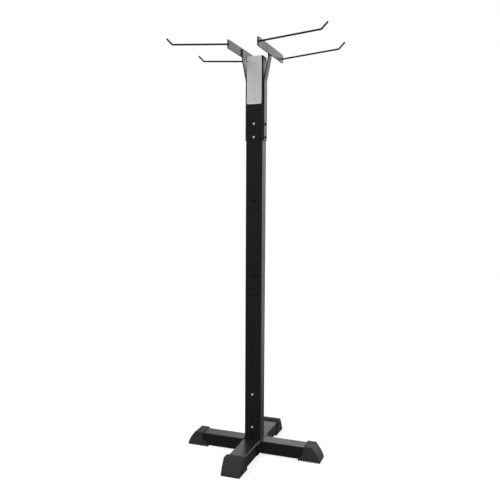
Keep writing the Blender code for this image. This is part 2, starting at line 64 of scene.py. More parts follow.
MERGE_DISTANCE = 1e-6
SHARP_ANGLE = math.radians(50.0)
EDGE_ATTRIBUTE = "edge"
EDGE_RADIUS = 0.0012
LEG_SHARE = 0.45
LEAST_STEP = 1e-5
QUARTER_STEPS = 4
CURVE_STEPS = 6
ROUND_STEPS = 48

UP = np.array([0.0, 0.0, 1.0])
LEVELS = ("lower", "upper")
GAP = 0.0003
BEAD_GAP = 0.0001
BEAD_RIPPLE = 0.12
BEAD_RIPPLES, RIPPLE_STEPS = 9, 8
BEAD_HOLLOW = 0.82
BEAD_END = 0.2
TUBE_WALL = 0.002
TUBE_CORNER = 0.005
HOLE_RADIUS = 0.0045
NUT_BORE = 0.0043


class Slot(Enum):
    """The record's material slots."""

    PAINT = "black_paint"
    MOULDED = "moulded_plastic"
    PLATE = "plate_metal"
    BRIGHT = "bright_zinc"
    DARK = "dark_zinc"


class Side(Enum):
    """A direction that a part faces, with its name in the solids."""

    LEFT = ("left", (-1.0, 0.0, 0.0))
    RIGHT = ("right", (1.0, 0.0, 0.0))
    FRONT = ("front", (0.0, -1.0, 0.0))
    REAR = ("rear", (0.0, 1.0, 0.0))

    @property
    def word(self) -> str:
        """The side's name."""
        return self.value[0]

    @property
    def out(self) -> Points:
        """Unit vector that points out of the rack on this side."""
        return np.array(self.value[1])

    @property
    def sign(self) -> float:
        """+1 towards +X or +Y, and -1 towards -X or -Y."""
        return float(self.out.sum())


FLANKS = (Side.LEFT, Side.RIGHT)
ENDS = (Side.FRONT, Side.REAR)

# Surfaces as arrays of points


@dataclass
class Patch:
    """Part of a surface: its points, its four-sided faces and its many-sided caps."""

    points: Points
    quads: Faces
    caps: list[Faces] = field(default_factory=list)


def moved(patches: Iterable[Patch], *mappings: Map) -> list[Patch]:
    """Patches with the same faces over mapped points.

    Args:
        patches: The patches, which stay as they are.
        *mappings: Each one is applied to the points that the one before it gives.

    Returns:
        The new patches.
    """
    for mapping in mappings:
        patches = [Patch(mapping(patch.points), patch.quads, patch.caps) for patch in patches]
    return list(patches)


def cells(index: Faces) -> Faces:
    """Faces of a grid of point numbers: each joins (i, j), (i, j+1), (i+1, j+1), (i+1, j)."""
    return np.stack([index[:-1, :-1], index[:-1, 1:], index[1:, 1:], index[1:, :-1]], axis=-1)


def skin(rings: Points, capped: bool = True, joined: bool = False) -> Patch:
    """Surface over closed rings, S(i, j) = point j of ring i, with j running round.

    Args:
        rings: Points of shape (rings, points in a ring, 3).
        capped: Whether the two end rings are filled.
        joined: Whether the last ring goes back to the first, as on a sleeve.

    Returns:
        The patch over all rings.
    """
    count, size = rings.shape[:2]
    index = np.arange(count * size).reshape(count, size)
    caps = [index[0, ::-1], index[-1]] if capped and not joined else []
    index = np.concatenate([index, index[:, :1]], axis=1)
    if joined:
        index = np.concatenate([index, index[:1]], axis=0)
    return Patch(rings.reshape(-1, 3), cells(index).reshape(-1, 4), caps)


def stacked(*columns: Points | float) -> Points:
    """Arrays and numbers of matching shapes joined as the last axis of one array."""
    return np.stack(np.broadcast_arrays(*columns), axis=-1).astype(float)


@dataclass(frozen=True)
class Axes:
    """A place with three directions, which turns local points (a, b, c) to rack points."""

    origin: Points
    across: Points
    along: Points
    out: Points

    @classmethod
    def facing(cls, origin: Points, out: Points) -> "Axes":
        """Axes at a place that look out level: along is +Z, and across is along x out."""
        return cls(origin, np.cross(UP, out), UP, out)

    def world(self, local: Points) -> Points:
        """Rack point = origin + a across + b along + c out."""
        return self.origin + local @ np.stack([self.across, self.along, self.out])

    def sheet(self, local: Points) -> Points:
        """Rack point of a sheet's (across, along, depth), where depth runs inwards."""
        return self.world(local * np.array([1.0, 1.0, -1.0]))


@dataclass(frozen=True)
class Solid:
    """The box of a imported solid."""

    name: str

    @property
    def corners(self) -> Points:
        """Lowest and highest corner, as two rows."""
        return np.array([tuple(corner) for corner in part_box(self.name)])

    @property
    def middle(self) -> Points:
        """Middle of the box."""
        return self.corners.mean(axis=0)

    @property
    def size(self) -> Points:
        """Lengths of the box along X, Y and Z."""
        return self.corners[1] - self.corners[0]

    def face(self, out: Points) -> Points:
        """Middle of the box's face that looks along a unit vector."""
        return self.middle + out * (self.size / 2)

    def measures(self, out: Points) -> Points:
        """Length along a unit vector, then the larger and the smaller width across it."""
        level = np.abs(out) > 0.5
        return np.append(self.size[level], np.sort(self.size[~level])[::-1])


def quarter(radius: float, steps: int = QUARTER_STEPS) -> tuple[Points, Points]:
    """A rounded edge: reach r sin t and drop r (1 - cos t), for t from 0 to a quarter turn."""
    turn = np.linspace(0.0, math.pi / 2, steps + 1)
    return radius * np.sin(turn), radius * (1.0 - np.cos(turn))


@dataclass(frozen=True)
class Hole:
    """A round hole in a sheet, placed by its distances across and along it."""

    across: float
    along: float
    radius: float


@dataclass(frozen=True)
class Drilling:
    """How a sheet is divided round its holes, and how their rims are rounded."""

    half: float = 0.010
    steps: int = 8
    rim: float = 0.0004
    shares: tuple[float, ...] = (0.0, 0.45, 0.8)

    def lines(self, stops: Iterable[float], centres: Iterable[float]) -> Points:
        """Sorted grid lines, each once.

        Args:
            stops: The lines wanted where there are no holes.
            centres: Places of the holes' middles.

        Returns:
            The stops outside the holes' squares, and even steps inside them.
        """
        stops = np.asarray(list(stops), float)
        centres = np.asarray(sorted(set(centres)), float)
        if centres.size:
            clear = np.abs(stops[:, None] - centres[None, :]).min(axis=1) > self.half
            squares = centres[:, None] + np.linspace(-self.half, self.half, self.steps + 1)
            stops = np.concatenate([stops[clear], squares.ravel()])
        stops = np.sort(stops)
        return stops[np.concatenate([[True], np.diff(stops) > MERGE_DISTANCE])]

    def wall(self, hole: Hole, thickness: float) -> Patch:
        """Surface from a square on the front, over the rim, down the bore, to a square behind.

        A ring is (1 - s) square + s circle in front, then the circle of radius R + r - r sin t
        at depth r (1 - cos t), and the same mirrored behind.

        Args:
            hole: The hole.
            thickness: Depth of the square behind.

        Returns:
            The open patch between the two squares.
        """
        base = np.linspace(-1.0, 1.0, self.steps, endpoint=False)
        square = np.concatenate(
            [stacked(base, -1.0), stacked(1.0, base), stacked(-base, 1.0), stacked(-1.0, -base)]
        )
        turn = 2 * math.pi * (np.arange(4 * self.steps) / (4 * self.steps) - 3 / 8)
        circle = stacked(np.cos(turn), np.sin(turn))
        reach, drop = quarter(self.rim)
        share = np.array(self.shares)[:, None, None]
        mouth = hole.radius + self.rim
        flat = (1 - share) * self.half * square + share * mouth * circle
        rings = np.concatenate([flat, (mouth - reach)[:, None, None] * circle])
        depth = np.concatenate([np.zeros(share.size), drop])
        rings = np.concatenate([rings, rings[::-1]]) + np.array([hole.across, hole.along])
        depth = np.concatenate([depth, thickness - depth[::-1]])
        return skin(stacked(rings[..., 0], rings[..., 1], depth[:, None]), capped=False)

    def sheet(
        self, across: Points, along: Points, holes: Sequence[Hole], thickness: float
    ) -> list[Patch]:
        """Front and back of a sheet in (across, along, depth), with its holes' walls.

        Args:
            across: Grid lines across the sheet.
            along: Grid lines along the sheet.
            holes: The holes, each on a square of its own that the lines go round.
            thickness: Depth of the back.

        Returns:
            The two faces, which leave the holes' squares open, and a wall for each hole.
        """
        index = np.arange(along.size * across.size).reshape(along.size, across.size)
        keep = np.ones((along.size - 1, across.size - 1), bool)
        middle_u, middle_v = ((lines[1:] + lines[:-1]) / 2 for lines in (across, along[:, None]))
        for hole in holes:
            away = np.maximum(np.abs(middle_u - hole.across), np.abs(middle_v - hole.along))
            keep &= away >= self.half
        quads = cells(index)[keep]
        u, v = np.meshgrid(across, along)
        faces = [Patch(stacked(u, v, depth).reshape(-1, 3), quads) for depth in (0.0, thickness)]
        return faces + [self.wall(hole, thickness) for hole in holes]


@dataclass(frozen=True)
class Slab:
    """Flat plate with rounded corners and rounded edges, in (across, along, depth)."""

    width: float
    length: float
    thickness: float
    corner: float
    rim: float
    drilling: Drilling = Drilling()
    corner_steps: int = 6

    def curved(self, points: Points) -> Points:
        """Bend a rectangle's corner squares to quarter discs.

        Args:
            points: Points of the sheet, whose corners are square.

        Returns:
            The same, where a share (a, b) of a corner's square becomes (a sqrt(1 - b^2 / 2),
            b sqrt(1 - a^2 / 2)).
        """
        radius = self.corner - self.rim
        half = np.array([self.width, self.length]) / 2 - self.corner
        plane = points[:, :2]
        share = np.clip((np.abs(plane) - half) / radius, 0.0, 1.0)
        bent = radius * share * np.sqrt(1.0 - share[:, ::-1] ** 2 / 2)
        done = points.copy()
        done[:, :2] = np.sign(plane) * (np.minimum(np.abs(plane), half) + bent)
        return done

    def margin(self, points: Points) -> Points:
        """Distances in from the plate's outline.

        Args:
            points: Points of the sheet.

        Returns:
            One distance for each point.
        """
        beyond = np.abs(points[:, :2]) - (np.array([self.width, self.length]) / 2 - self.corner)
        outside = np.linalg.norm(np.maximum(beyond, 0.0), axis=1)
        return self.corner - outside - np.minimum(beyond.max(axis=1), 0.0)

    def stops(self, extent: float, extra: Iterable[float] = ()) -> Points:
        """Grid lines over one extent of the plate, not sorted.

        Args:
            extent: The plate's width or length.
            extra: More lines, as distances in from both edges.

        Returns:
            Even steps in the corners, and the extra lines.
        """
        half = extent / 2
        share = np.linspace(0, 1, self.corner_steps + 1)
        steps = half - self.corner + (self.corner - self.rim) * share
        lines = np.concatenate([steps, half - np.asarray(list(extra), float)])
        return np.concatenate([-lines, lines])

    def patches(
        self,
        holes: Sequence[Hole] = (),
        margins: Iterable[float] = (),
        along_stops: Iterable[float] = (),
    ) -> list[Patch]:
        """The whole closed plate.

        Args:
            holes: Holes clear of the corners.
            margins: Extra grid lines, as distances in from each edge.
            along_stops: Extra grid lines, as places along the plate.

        Returns:
            Faces, hole walls and the rounded edge, whose rings are the outline moved out along
            its normal by r sin t at depth r (1 - cos t), and mirrored at the back.
        """
        across = self.drilling.lines(self.stops(self.width, margins), [h.across for h in holes])
        along = np.concatenate([self.stops(self.length, margins), list(along_stops)])
        along = self.drilling.lines(along, [h.along for h in holes])
        parts = moved(self.drilling.sheet(across, along, holes, self.thickness), self.curved)
        loop = np.concatenate(
            [
                stacked(across[:-1], along[0], 0.0), stacked(across[-1], along[:-1], 0.0),
                stacked(across[:0:-1], along[-1], 0.0), stacked(across[0], along[:0:-1], 0.0),
            ]
        )
        loop = self.curved(loop)[:, :2]
        half = np.array([self.width, self.length]) / 2 - self.corner
        normal = loop - np.clip(loop, -half, half)
        normal /= np.linalg.norm(normal, axis=1, keepdims=True)
        reach, drop = quarter(self.rim)
        reach = np.concatenate([reach, reach[::-1]])
        depth = np.concatenate([drop, self.thickness - drop[::-1]])
        rings = loop + reach[:, None, None] * normal
        edge = skin(stacked(rings[..., 0], rings[..., 1], depth[:, None]), capped=False)
        return parts + [edge]


@dataclass(frozen=True)
class Tube:
    """Rectangular tube with rounded corners: a drilled sheet wrapped round its section."""

    width: float
    depth: float
    length: float
    corner: float = TUBE_CORNER
    wall: float = TUBE_WALL
    rim: float = 0.0004
    drilling: Drilling = Drilling()

    def table(self) -> tuple[Points, Points, Points]:
        """Where each straight and each arc of the section starts.

        Returns:
            The distances round the section, the middles of the arcs there, and the angles of the
            section's normal.
        """
        side, front = self.depth - 2 * self.corner, self.width - 2 * self.corner
        arc = math.pi / 2 * self.corner
        distance = np.cumsum([0, side, arc, front, arc, side, arc, front, arc])
        x, y = front / 2, side / 2
        middles = np.array([(x, -y), (x, y), (-x, y), (-x, -y), (x, -y)])
        middle = middles[[0, 1, 1, 2, 2, 3, 3, 4, 4]]
        angle = math.pi / 2 * np.array([0, 0, 1, 1, 2, 2, 3, 3, 4])
        return distance, middle, angle

    def face(self, side: Side) -> float:
        """Place of a face.

        Args:
            side: The side that it looks to.

        Returns:
            The distance round the section to its middle.
        """
        start = {Side.RIGHT: 0, Side.REAR: 2, Side.LEFT: 4, Side.FRONT: 6}[side]
        distance = self.table()[0]
        return float(distance[start] + distance[start + 1]) / 2

    def wrapped(self, local: Points) -> Points:
        """(distance round, place along, depth) to (x, y, z).

        The section's point is the arc's middle M(u) plus (corner - depth) times the normal at
        angle A(u), where both run straight between the entries of the table.

        Args:
            local: Points of the unrolled sheet.

        Returns:
            Points round the Z axis.
        """
        distance, middle, angle = self.table()
        turn = np.interp(local[:, 0], distance, angle)
        reach = self.corner - local[:, 2]
        x = np.interp(local[:, 0], distance, middle[:, 0]) + reach * np.cos(turn)
        y = np.interp(local[:, 0], distance, middle[:, 1]) + reach * np.sin(turn)
        return stacked(x, y, local[:, 1])

    def arcs(self, steps: int = 8) -> Points:
        """Distances round the section of even steps over its four arcs."""
        start = self.table()[0][1::2]
        return (start[:, None] + np.linspace(0, math.pi / 2 * self.corner, steps + 1)).ravel()

    def patches(self, holes: Sequence[Hole] = ()) -> list[Patch]:
        """The closed tube from 0 to its length.

        Args:
            holes: Holes in its wall, placed by their distances round the section and along it.

        Returns:
            Walls, holes and two rounded ends.
        """
        across = self.drilling.lines([0.0, *self.arcs()], [h.across for h in holes])
        along = self.drilling.lines([self.rim, self.length - self.rim], [h.along for h in holes])
        parts = self.drilling.sheet(across, along, holes, self.wall)
        reach, drop = quarter(self.rim)
        depth = np.concatenate([drop, self.wall - drop[::-1]])
        rise = np.concatenate([reach, reach[::-1]]) - self.rim
        for end, sign in ((0.0, -1.0), (self.length, 1.0)):
            ring = stacked(across[None, :-1], end + sign * rise[:, None], depth[:, None])
            parts.append(skin(ring, capped=False))
        return moved(parts, self.wrapped)


@dataclass(frozen=True)
class BentLine:
    """A line through corners in a plane, each corner rounded to an arc."""

    corners: Sequence[Sequence[float]]
    radius: float
    steps: int = 8

    def table(self) -> tuple[Points, Points, Points]:
        """Samples of the line.

        Returns:
            Distances along it, points, and the angles of its direction.
        """
        corners = np.array(self.corners)
        runs = np.diff(corners, axis=0)
        heading = np.arctan2(runs[:, 1], runs[:, 0])
        points, angles = [corners[:1]], [heading[:1]]
        for place, before, after in zip(corners[1:-1], heading[:-1], heading[1:]):
            turn = after - before
            trim = self.radius * math.tan(abs(turn) / 2)
            start = place - trim * np.array([math.cos(before), math.sin(before)])
            side = math.copysign(1.0, turn)
            middle = start + side * self.radius * np.array([-math.sin(before), math.cos(before)])
            angle = np.linspace(before, after, self.steps + 1)
            points.append(middle + side * self.radius * stacked(np.sin(angle), -np.cos(angle)))
            angles.append(angle)
        points.append(corners[-1:])
        angles.append(heading[-1:])
        line = np.concatenate(points)
        gone = np.concatenate([[0.0], np.cumsum(np.linalg.norm(np.diff(line, axis=0), axis=1))])
        return gone, line, np.concatenate(angles)

    @property
    def length(self) -> float:
        """Length along the line."""
        return float(self.table()[0][-1])

    def at(self, distance: Points) -> tuple[Points, Points]:
        """Look the line up.

        Args:
            distance: Distances along it.

        Returns:
            The points there, and the unit normals to their left.
        """
        gone, line, angle = self.table()
        turn = np.interp(distance, gone, angle)
        point = stacked(*(np.interp(distance, gone, values) for values in line.T))
        return point, stacked(-np.sin(turn), np.cos(turn))


def turned(radius: Points, height: Points, reach: Points | float = 1.0) -> Points:
    """Rings about the out axis: (R(i, j) cos a, R(i, j) sin a, h(i)), with R = radius x reach.

    Args:
        radius: One radius for each ring.
        height: One height for each ring.
        reach: Factor for each point round a ring, or one row of them for each ring.

    Returns:
        Points of shape (rings, ROUND_STEPS, 3).
    """
    angle = 2 * math.pi * np.arange(ROUND_STEPS) / ROUND_STEPS
    full = np.asarray(radius, float)[:, None] * reach
    full = np.broadcast_to(full, (full.shape[0], ROUND_STEPS))
    return stacked(full * np.cos(angle), full * np.sin(angle), np.asarray(height, float)[:, None])


def hexagon() -> Points:
    """Reach of a hexagon with half width 1 at each angle: 1 / cos(angle off the nearest flat)."""
    angle = 2 * math.pi * np.arange(ROUND_STEPS) / ROUND_STEPS
    return 1.0 / np.cos((angle + math.pi / 6) % (math.pi / 3) - math.pi / 6)


def fillet(start: Points, end: Points, first: Points, second: Points, size: float) -> Patch:
    """Weld bead in the inner corner between two faces, from start to end.

    The section is the two legs of length w and a hollow curve between them, and w is
    size (1 + BEAD_RIPPLE sin(BEAD_RIPPLES turns of the run)), tapered to little at the two ends.

    Args:
        start: Where the bead starts, in the corner.
        end: Where it ends.
        first: Unit vector along the first face, away from the corner.
        second: Unit vector along the second face, away from the corner.
        size: Length of a leg.

    Returns:
        The closed bead.
    """
    share = np.linspace(0.0, 1.0, RIPPLE_STEPS * BEAD_RIPPLES + 1)
    run = np.linalg.norm(end - start)
    taper = np.clip(np.minimum(share, 1 - share) * run / size, BEAD_END**2, 1.0) ** 0.5
    leg = size * taper * (1.0 + BEAD_RIPPLE * np.sin(2 * math.pi * BEAD_RIPPLES * share))
    turn = np.linspace(0.0, math.pi / 2, CURVE_STEPS + 1)
    curve = 1.0 - BEAD_HOLLOW * stacked(np.sin(turn), np.cos(turn))
    curve[0], curve[-1] = (1.0, 0.0), (0.0, 1.0)
    section = np.concatenate([[(0.0, 0.0)], curve])
    local = leg[:, None, None] * section
    along = start + share[:, None] * (end - start)
    return skin(along[:, None, :] + local[..., :1] * first + local[..., 1:] * second)


# Finishes

TONE_SPAN = (0.32, 0.68)
SLOW_SHARE = 0.012
PATCH_SPAN = (0.5, 0.68)
BREAK_SPAN, BREAK_RANGE = (0.38, 0.62), (0.25, 1.0)
EDGE_SPAN = (0.12, 0.7)
LINE_STRETCH = (1.0, 1.0, 0.02)
LINE_SPAN = (0.75, 1.25)
BROAD_SHARE = 0.16
UP_SPAN = (0.55, 1.0)
DRIFT_SPAN, DRIFT_RANGE = (0.3, 0.7), (0.3, 1.0)
HANDLING_SCALE, RUB_SCALE, DUST_SCALE = 9.0, 90.0, 35.0
RUB_POLISH = 0.08
DUST_LEVEL, DUST_ROUGHNESS = 0.32, 0.35


class Wiring:
    """Short-hand for a node tree."""

    def __init__(self, tree: NodeTree) -> None:
        """Take the tree that nodes are added to."""
        self.tree = tree

    def feed(self, socket: NodeSocket, value: object) -> None:
        """Give an input socket what it needs.

        Args:
            socket: The input.
            value: An output to link to it, or its own value.
        """
        if isinstance(value, NodeSocket):
            self.tree.links.new(value, socket)
        else:
            socket.default_value = value

    def add(self, kind: str, inputs: dict | None = None, **settings: object) -> Node:
        """Add a node.

        Args:
            kind: Blender's name of the node's type.
            inputs: Values or outputs for its input sockets, by name or number.
            **settings: The node's own properties.

        Returns:
            The node.
        """
        node = self.tree.nodes.new(kind)
        for key, value in settings.items():
            setattr(node, key, value)
        for key, value in (inputs or {}).items():
            self.feed(node.inputs[key], value)
        return node

    def out(self, kind: str, inputs: dict | None = None, **settings: object) -> NodeSocket:
        """First output of a new node."""
        return self.add(kind, inputs, **settings).outputs[0]

    def math(self, operation: str, first: object, second: object) -> NodeSocket:
        """Output of a Math node."""
        return self.out("ShaderNodeMath", {0: first, 1: second}, operation=operation)

    def product(self, *values: object) -> NodeSocket:
        """All the values multiplied."""
        return reduce(lambda first, second: self.math("MULTIPLY", first, second), values)

    def noise(self, position: object, scale: object, detail: float = 2.0) -> NodeSocket:
        """Grey noise at a scale in features per metre."""
        inputs = {"Vector": position, "Scale": scale, "Detail": detail}
        return self.out("ShaderNodeTexNoise", inputs)

    def spread(self, value: object, span: Span, to: Span = (0.0, 1.0)) -> NodeSocket:
        """Value moved smoothly from one range to another, and held at its ends."""
        inputs = dict(enumerate((value, *span, *to)))
        return self.out("ShaderNodeMapRange", inputs, interpolation_type="SMOOTHSTEP")

    def mix(self, share: object, first: Sequence[float], second: Sequence[float]) -> NodeSocket:
        """Colour between two colours."""
        inputs = {0: share, 6: first, 7: second}
        return self.add("ShaderNodeMix", inputs, data_type="RGBA").outputs[2]


@dataclass(frozen=True)
class Effect:
    """A shared surface effect as a node group, with named inputs and outputs."""

    name: str
    inputs: tuple[str, ...]
    outputs: tuple[str, ...]
    body: Callable[[Wiring, dict], tuple]

    def group(self) -> NodeTree:
        """The node group.

        Returns:
            The same one each time, made the first time it is asked for.
        """
        if self.name in bpy.data.node_groups:
            return bpy.data.node_groups[self.name]
        tree = bpy.data.node_groups.new(self.name, "ShaderNodeTree")
        for word in self.inputs:
            kind = "NodeSocketVector" if word == "Position" else "NodeSocketFloat"
            tree.interface.new_socket(name=word, in_out="INPUT", socket_type=kind)
        for word in self.outputs:
            tree.interface.new_socket(name=word, in_out="OUTPUT", socket_type="NodeSocketFloat")
        wiring = Wiring(tree)
        given = wiring.add("NodeGroupInput").outputs
        results = self.body(wiring, {word: given[word] for word in self.inputs})
        wiring.add("NodeGroupOutput", dict(zip(self.outputs, results)))
        return tree

    def place(self, wiring: Wiring, **values: object) -> dict[str, NodeSocket]:
        """Put the effect in a material, with values or outputs for its inputs by name."""
        outputs = wiring.add("ShaderNodeGroup", values, node_tree=self.group()).outputs
        return {word: outputs[word] for word in self.outputs}


def grain_body(wiring: Wiring, given: dict) -> tuple:
    """Fine skin: soft noise with rounded pebbles, and a slow drift of its tone.

    Args:
        wiring: The group's nodes.
        given: Its inputs by name.

    Returns:
        Height and tone.
    """
    position, scale = given["Position"], given["Scale"]
    fine = wiring.noise(position, scale)
    inputs = {"Vector": position, "Scale": scale}
    pebbles = wiring.out("ShaderNodeTexVoronoi", inputs, feature="SMOOTH_F1")
    height = wiring.math("ADD", fine, wiring.product(pebbles, given["Pebbles"]))
    slow = wiring.noise(position, wiring.product(scale, SLOW_SHARE), detail=3.0)
    return height, wiring.spread(slow, TONE_SPAN)


def handling_body(wiring: Wiring, given: dict) -> tuple:
    """Faint uneven patches, as hands and packing leave them."""
    patches = wiring.noise(given["Position"], given["Scale"], detail=4.0)
    return (wiring.spread(patches, PATCH_SPAN),)


def edge_body(wiring: Wiring, given: dict) -> tuple:
    """Rounded edges, broken up along their length.

    Args:
        wiring: The group's nodes.
        given: Its inputs by name.

    Returns:
        The mask.
    """
    patches = wiring.noise(given["Position"], given["Scale"], detail=3.0)
    broken = wiring.spread(patches, BREAK_SPAN, BREAK_RANGE)
    shown = wiring.spread(given["Edge"], EDGE_SPAN)
    return (wiring.product(broken, shown, given["Amount"]),)


def lines_body(wiring: Wiring, given: dict) -> tuple:
    """Fine straight lines along Z, as rolling or brushing leaves them.

    Args:
        wiring: The group's nodes.
        given: Its inputs by name.

    Returns:
        Height and tone.
    """
    inputs = {"Vector": given["Position"], "Scale": LINE_STRETCH}
    stretched = wiring.out("ShaderNodeMapping", inputs)
    fine = wiring.noise(stretched, given["Scale"], detail=3.0)
    broad = wiring.noise(stretched, wiring.product(given["Scale"], BROAD_SHARE))
    return fine, wiring.spread(wiring.math("ADD", fine, broad), LINE_SPAN)


def dust_body(wiring: Wiring, given: dict) -> tuple:
    """Thin uneven dust on faces that look up.

    Args:
        wiring: The group's nodes.
        given: Its inputs by name.

    Returns:
        The mask.
    """
    normal = wiring.add("ShaderNodeNewGeometry").outputs["Normal"]
    up = wiring.add("ShaderNodeSeparateXYZ", {0: normal}).outputs["Z"]
    patches = wiring.noise(given["Position"], given["Scale"], detail=5.0)
    drift = wiring.spread(patches, DRIFT_SPAN, DRIFT_RANGE)
    return (wiring.product(wiring.spread(up, UP_SPAN), drift, given["Amount"]),)


GRAIN = Effect("skin_grain", ("Position", "Scale", "Pebbles"), ("Height", "Tone"), grain_body)
HANDLING = Effect("handling_marks", ("Position", "Scale"), ("Mask",), handling_body)
# The edge mask is wear on paint and plastic, and painted light on the plate's rims, on bright zinc
# edges and on the bolt heads' rims.
EDGES = Effect("rubbed_edges_and_painted_rims", ("Position", "Edge", "Scale", "Amount"), ("Mask",), edge_body)
LINES = Effect("drawn_lines", ("Position", "Scale"), ("Height", "Tone"), lines_body)
DUST = Effect("settled_dust", ("Position", "Scale", "Amount"), ("Mask",), dust_body)


def grey(level: float, tint: float = 0.0) -> tuple[float, float, float, float]:
    """Opaque grey, with a little more blue where tint is above 0."""
    return (level, level, level * (1.0 + tint), 1.0)


@dataclass(frozen=True)
class Finish:
    """A surface finish: two tones, a skin with some depth, edge wear with painted edge light, and a
    little dust.
    """

    name: str
    slot: Slot
    base: float
    tone: float
    edge: float
    roughness: float
    roughness_range: float
    grain_scale: float
    grain_depth: float
    pebbles: float = 0.35
    metallic: float = 0.0
    specular: float = 0.5
    tint: float = 0.0
    edge_amount: float = 0.5
    dust_amount: float = 0.0
    lined: bool = False

    def material(self) -> Material:
        """Build the material.

        Returns:
            A Principled material, with colour, roughness and normal from the shared effects.
        """
        made = bpy.data.materials.new(self.name)
        made.use_nodes = True
        wiring = Wiring(made.node_tree)
        position = wiring.add("ShaderNodeTexCoord").outputs["Object"]
        edge = wiring.add("ShaderNodeAttribute", attribute_name=EDGE_ATTRIBUTE).outputs["Fac"]
        own = {"Position": position, "Scale": self.grain_scale}
        if self.lined:
            skin_out = LINES.place(wiring, **own)
        else:
            skin_out = GRAIN.place(wiring, **own, Pebbles=self.pebbles)
        marks = HANDLING.place(wiring, Position=position, Scale=HANDLING_SCALE)["Mask"]
        # Edge colour: wear on paint and plastic, a painted highlight on the plate's rims, a painted
        # dark reflection on bright zinc edges, and a painted rim on bolt heads.
        rubbed_and_painted_rim = EDGES.place(
            wiring, Position=position, Edge=edge, Scale=RUB_SCALE, Amount=self.edge_amount
        )["Mask"]
        dust = DUST.place(
            wiring, Position=position, Scale=DUST_SCALE, Amount=self.dust_amount
        )["Mask"]
        base, tone, wear_and_painted_rim = (grey(level, self.tint) for level in (self.base, self.tone, self.edge))
        colour = wiring.mix(skin_out["Tone"], base, tone)
        colour = wiring.mix(dust, wiring.mix(rubbed_and_painted_rim, colour, wear_and_painted_rim), grey(DUST_LEVEL))
        rough = wiring.math("ADD", wiring.product(marks, self.roughness_range), self.roughness)
        rough = wiring.math("SUBTRACT", rough, wiring.product(rubbed_and_painted_rim, RUB_POLISH))
        rough = wiring.math("ADD", rough, wiring.product(dust, DUST_ROUGHNESS))
        height = {"Height": skin_out["Height"], "Strength": 1.0, "Distance": self.grain_depth}
        values = {
            "Base Color": colour,
            "Roughness": rough,
            "Normal": wiring.out("ShaderNodeBump", height),
            "Metallic": self.metallic,
            "Specular IOR Level": self.specular,
        }
        for key, value in values.items():
            wiring.feed(made.node_tree.nodes["Principled BSDF"].inputs[key], value)
        return made


FINISHES = (
    Finish(
        "satin_black_powder_coat", Slot.PAINT, base=0.0076, tone=0.0096, edge=0.03, roughness=0.33,
        roughness_range=0.05, grain_scale=620.0, grain_depth=0.00006, pebbles=0.5,
        dust_amount=0.006,
    ),
    Finish(
        "grained_black_plastic", Slot.MOULDED, base=0.023, tone=0.028, edge=0.05, roughness=0.6,
        roughness_range=0.06, grain_scale=900.0, grain_depth=0.00012, pebbles=1.0, specular=0.4,
        edge_amount=0.4, dust_amount=0.012,
    ),
    # Plate: the much lighter edge colour is a painted highlight along the rounded rims and the
    # border.
    Finish(
        "satin_silver_plate", Slot.PLATE, base=0.47, tone=0.51, edge=0.74, roughness=0.38,
        roughness_range=0.05, grain_scale=2400.0, grain_depth=0.000012, metallic=0.1, tint=0.005,
        edge_amount=0.9, lined=True,
    ),
    # Bright zinc: the dark edge colour, laid on three times over, is a painted dark reflection on
    # rounded edges and bolt rims, round bright middles that stand as painted highlights.
    Finish(
        "bright_zinc_plating", Slot.BRIGHT, base=0.84, tone=0.9, edge=0.07, roughness=0.3,
        roughness_range=0.08, grain_scale=1500.0, grain_depth=0.00001, metallic=0.25, tint=0.01,
        edge_amount=3.0,
    ),
    Finish(
        "black_zinc_plating", Slot.DARK, base=0.016, tone=0.024, edge=0.1, roughness=0.34,
        roughness_range=0.08, grain_scale=1500.0, grain_depth=0.000012, metallic=0.6,
    ),
)


# Pieces


def read(
    items: bpy_prop_collection, name: str, width: int = 1, kind: type = float
) -> Points | Faces:
    """One property of all the items of a mesh.

    Args:
        items: The mesh's vertices, edges, loops or faces.
        name: The property.
        width: How many numbers it has.
        kind: Their type.

    Returns:
        The numbers, one row for each item if there is more than one number in each.
    """
    values = np.zeros(len(items) * width, kind)
    items.foreach_get(name, values)
    return values.reshape(-1, width) if width > 1 else values


def placed(name: str, data: ID) -> Object:
    """A new object in the scene.

    Args:
        name: Its name.
        data: Its mesh, light or camera.

    Returns:
        The object.
    """
    item = bpy.data.objects.new(name, data)
    bpy.context.scene.collection.objects.link(item)
    return item


def edge_measure(mesh: Mesh) -> Points:
    """How sharply each face bulges, from 0 on a flat to 1 on an edge of EDGE_RADIUS.

    Across an edge of length l between two faces of areas A and B, the surface bends by the angle
    between their normals over the distance (A + B) / 2 l, and a face takes its sharpest bend
    outwards, times EDGE_RADIUS.

    Args:
        mesh: A closed mesh.

    Returns:
        One number for each face.
    """
    faces = mesh.polygons
    normal, centre, area = read(faces, "normal", 3), read(faces, "center", 3), read(faces, "area")
    edge_of = read(mesh.loops, "edge_index", kind=int)
    face_of = np.repeat(np.arange(area.size), read(faces, "loop_total", kind=int))
    face_of = face_of[np.argsort(edge_of, kind="stable")]
    first, second = face_of[0::2], face_of[1::2]
    ends = read(mesh.edges, "vertices", 2, int)
    start, end = read(mesh.vertices, "co", 3)[ends].transpose(1, 0, 2)
    length = np.maximum(np.linalg.norm(end - start, axis=1), MERGE_DISTANCE)
    angle = np.arccos(np.clip((normal[first] * normal[second]).sum(axis=1), -1.0, 1.0))
    outward = ((normal[second] - normal[first]) * (centre[second] - centre[first])).sum(axis=1) > 0
    pair = np.maximum(area[first] + area[second], MERGE_DISTANCE**2)
    bend = np.where(outward, angle * 2 * length / pair, 0.0)
    sharpest = np.zeros(area.size)
    np.maximum.at(sharpest, first, bend)
    np.maximum.at(sharpest, second, bend)
    return np.clip(EDGE_RADIUS * sharpest, 0.0, 1.0)


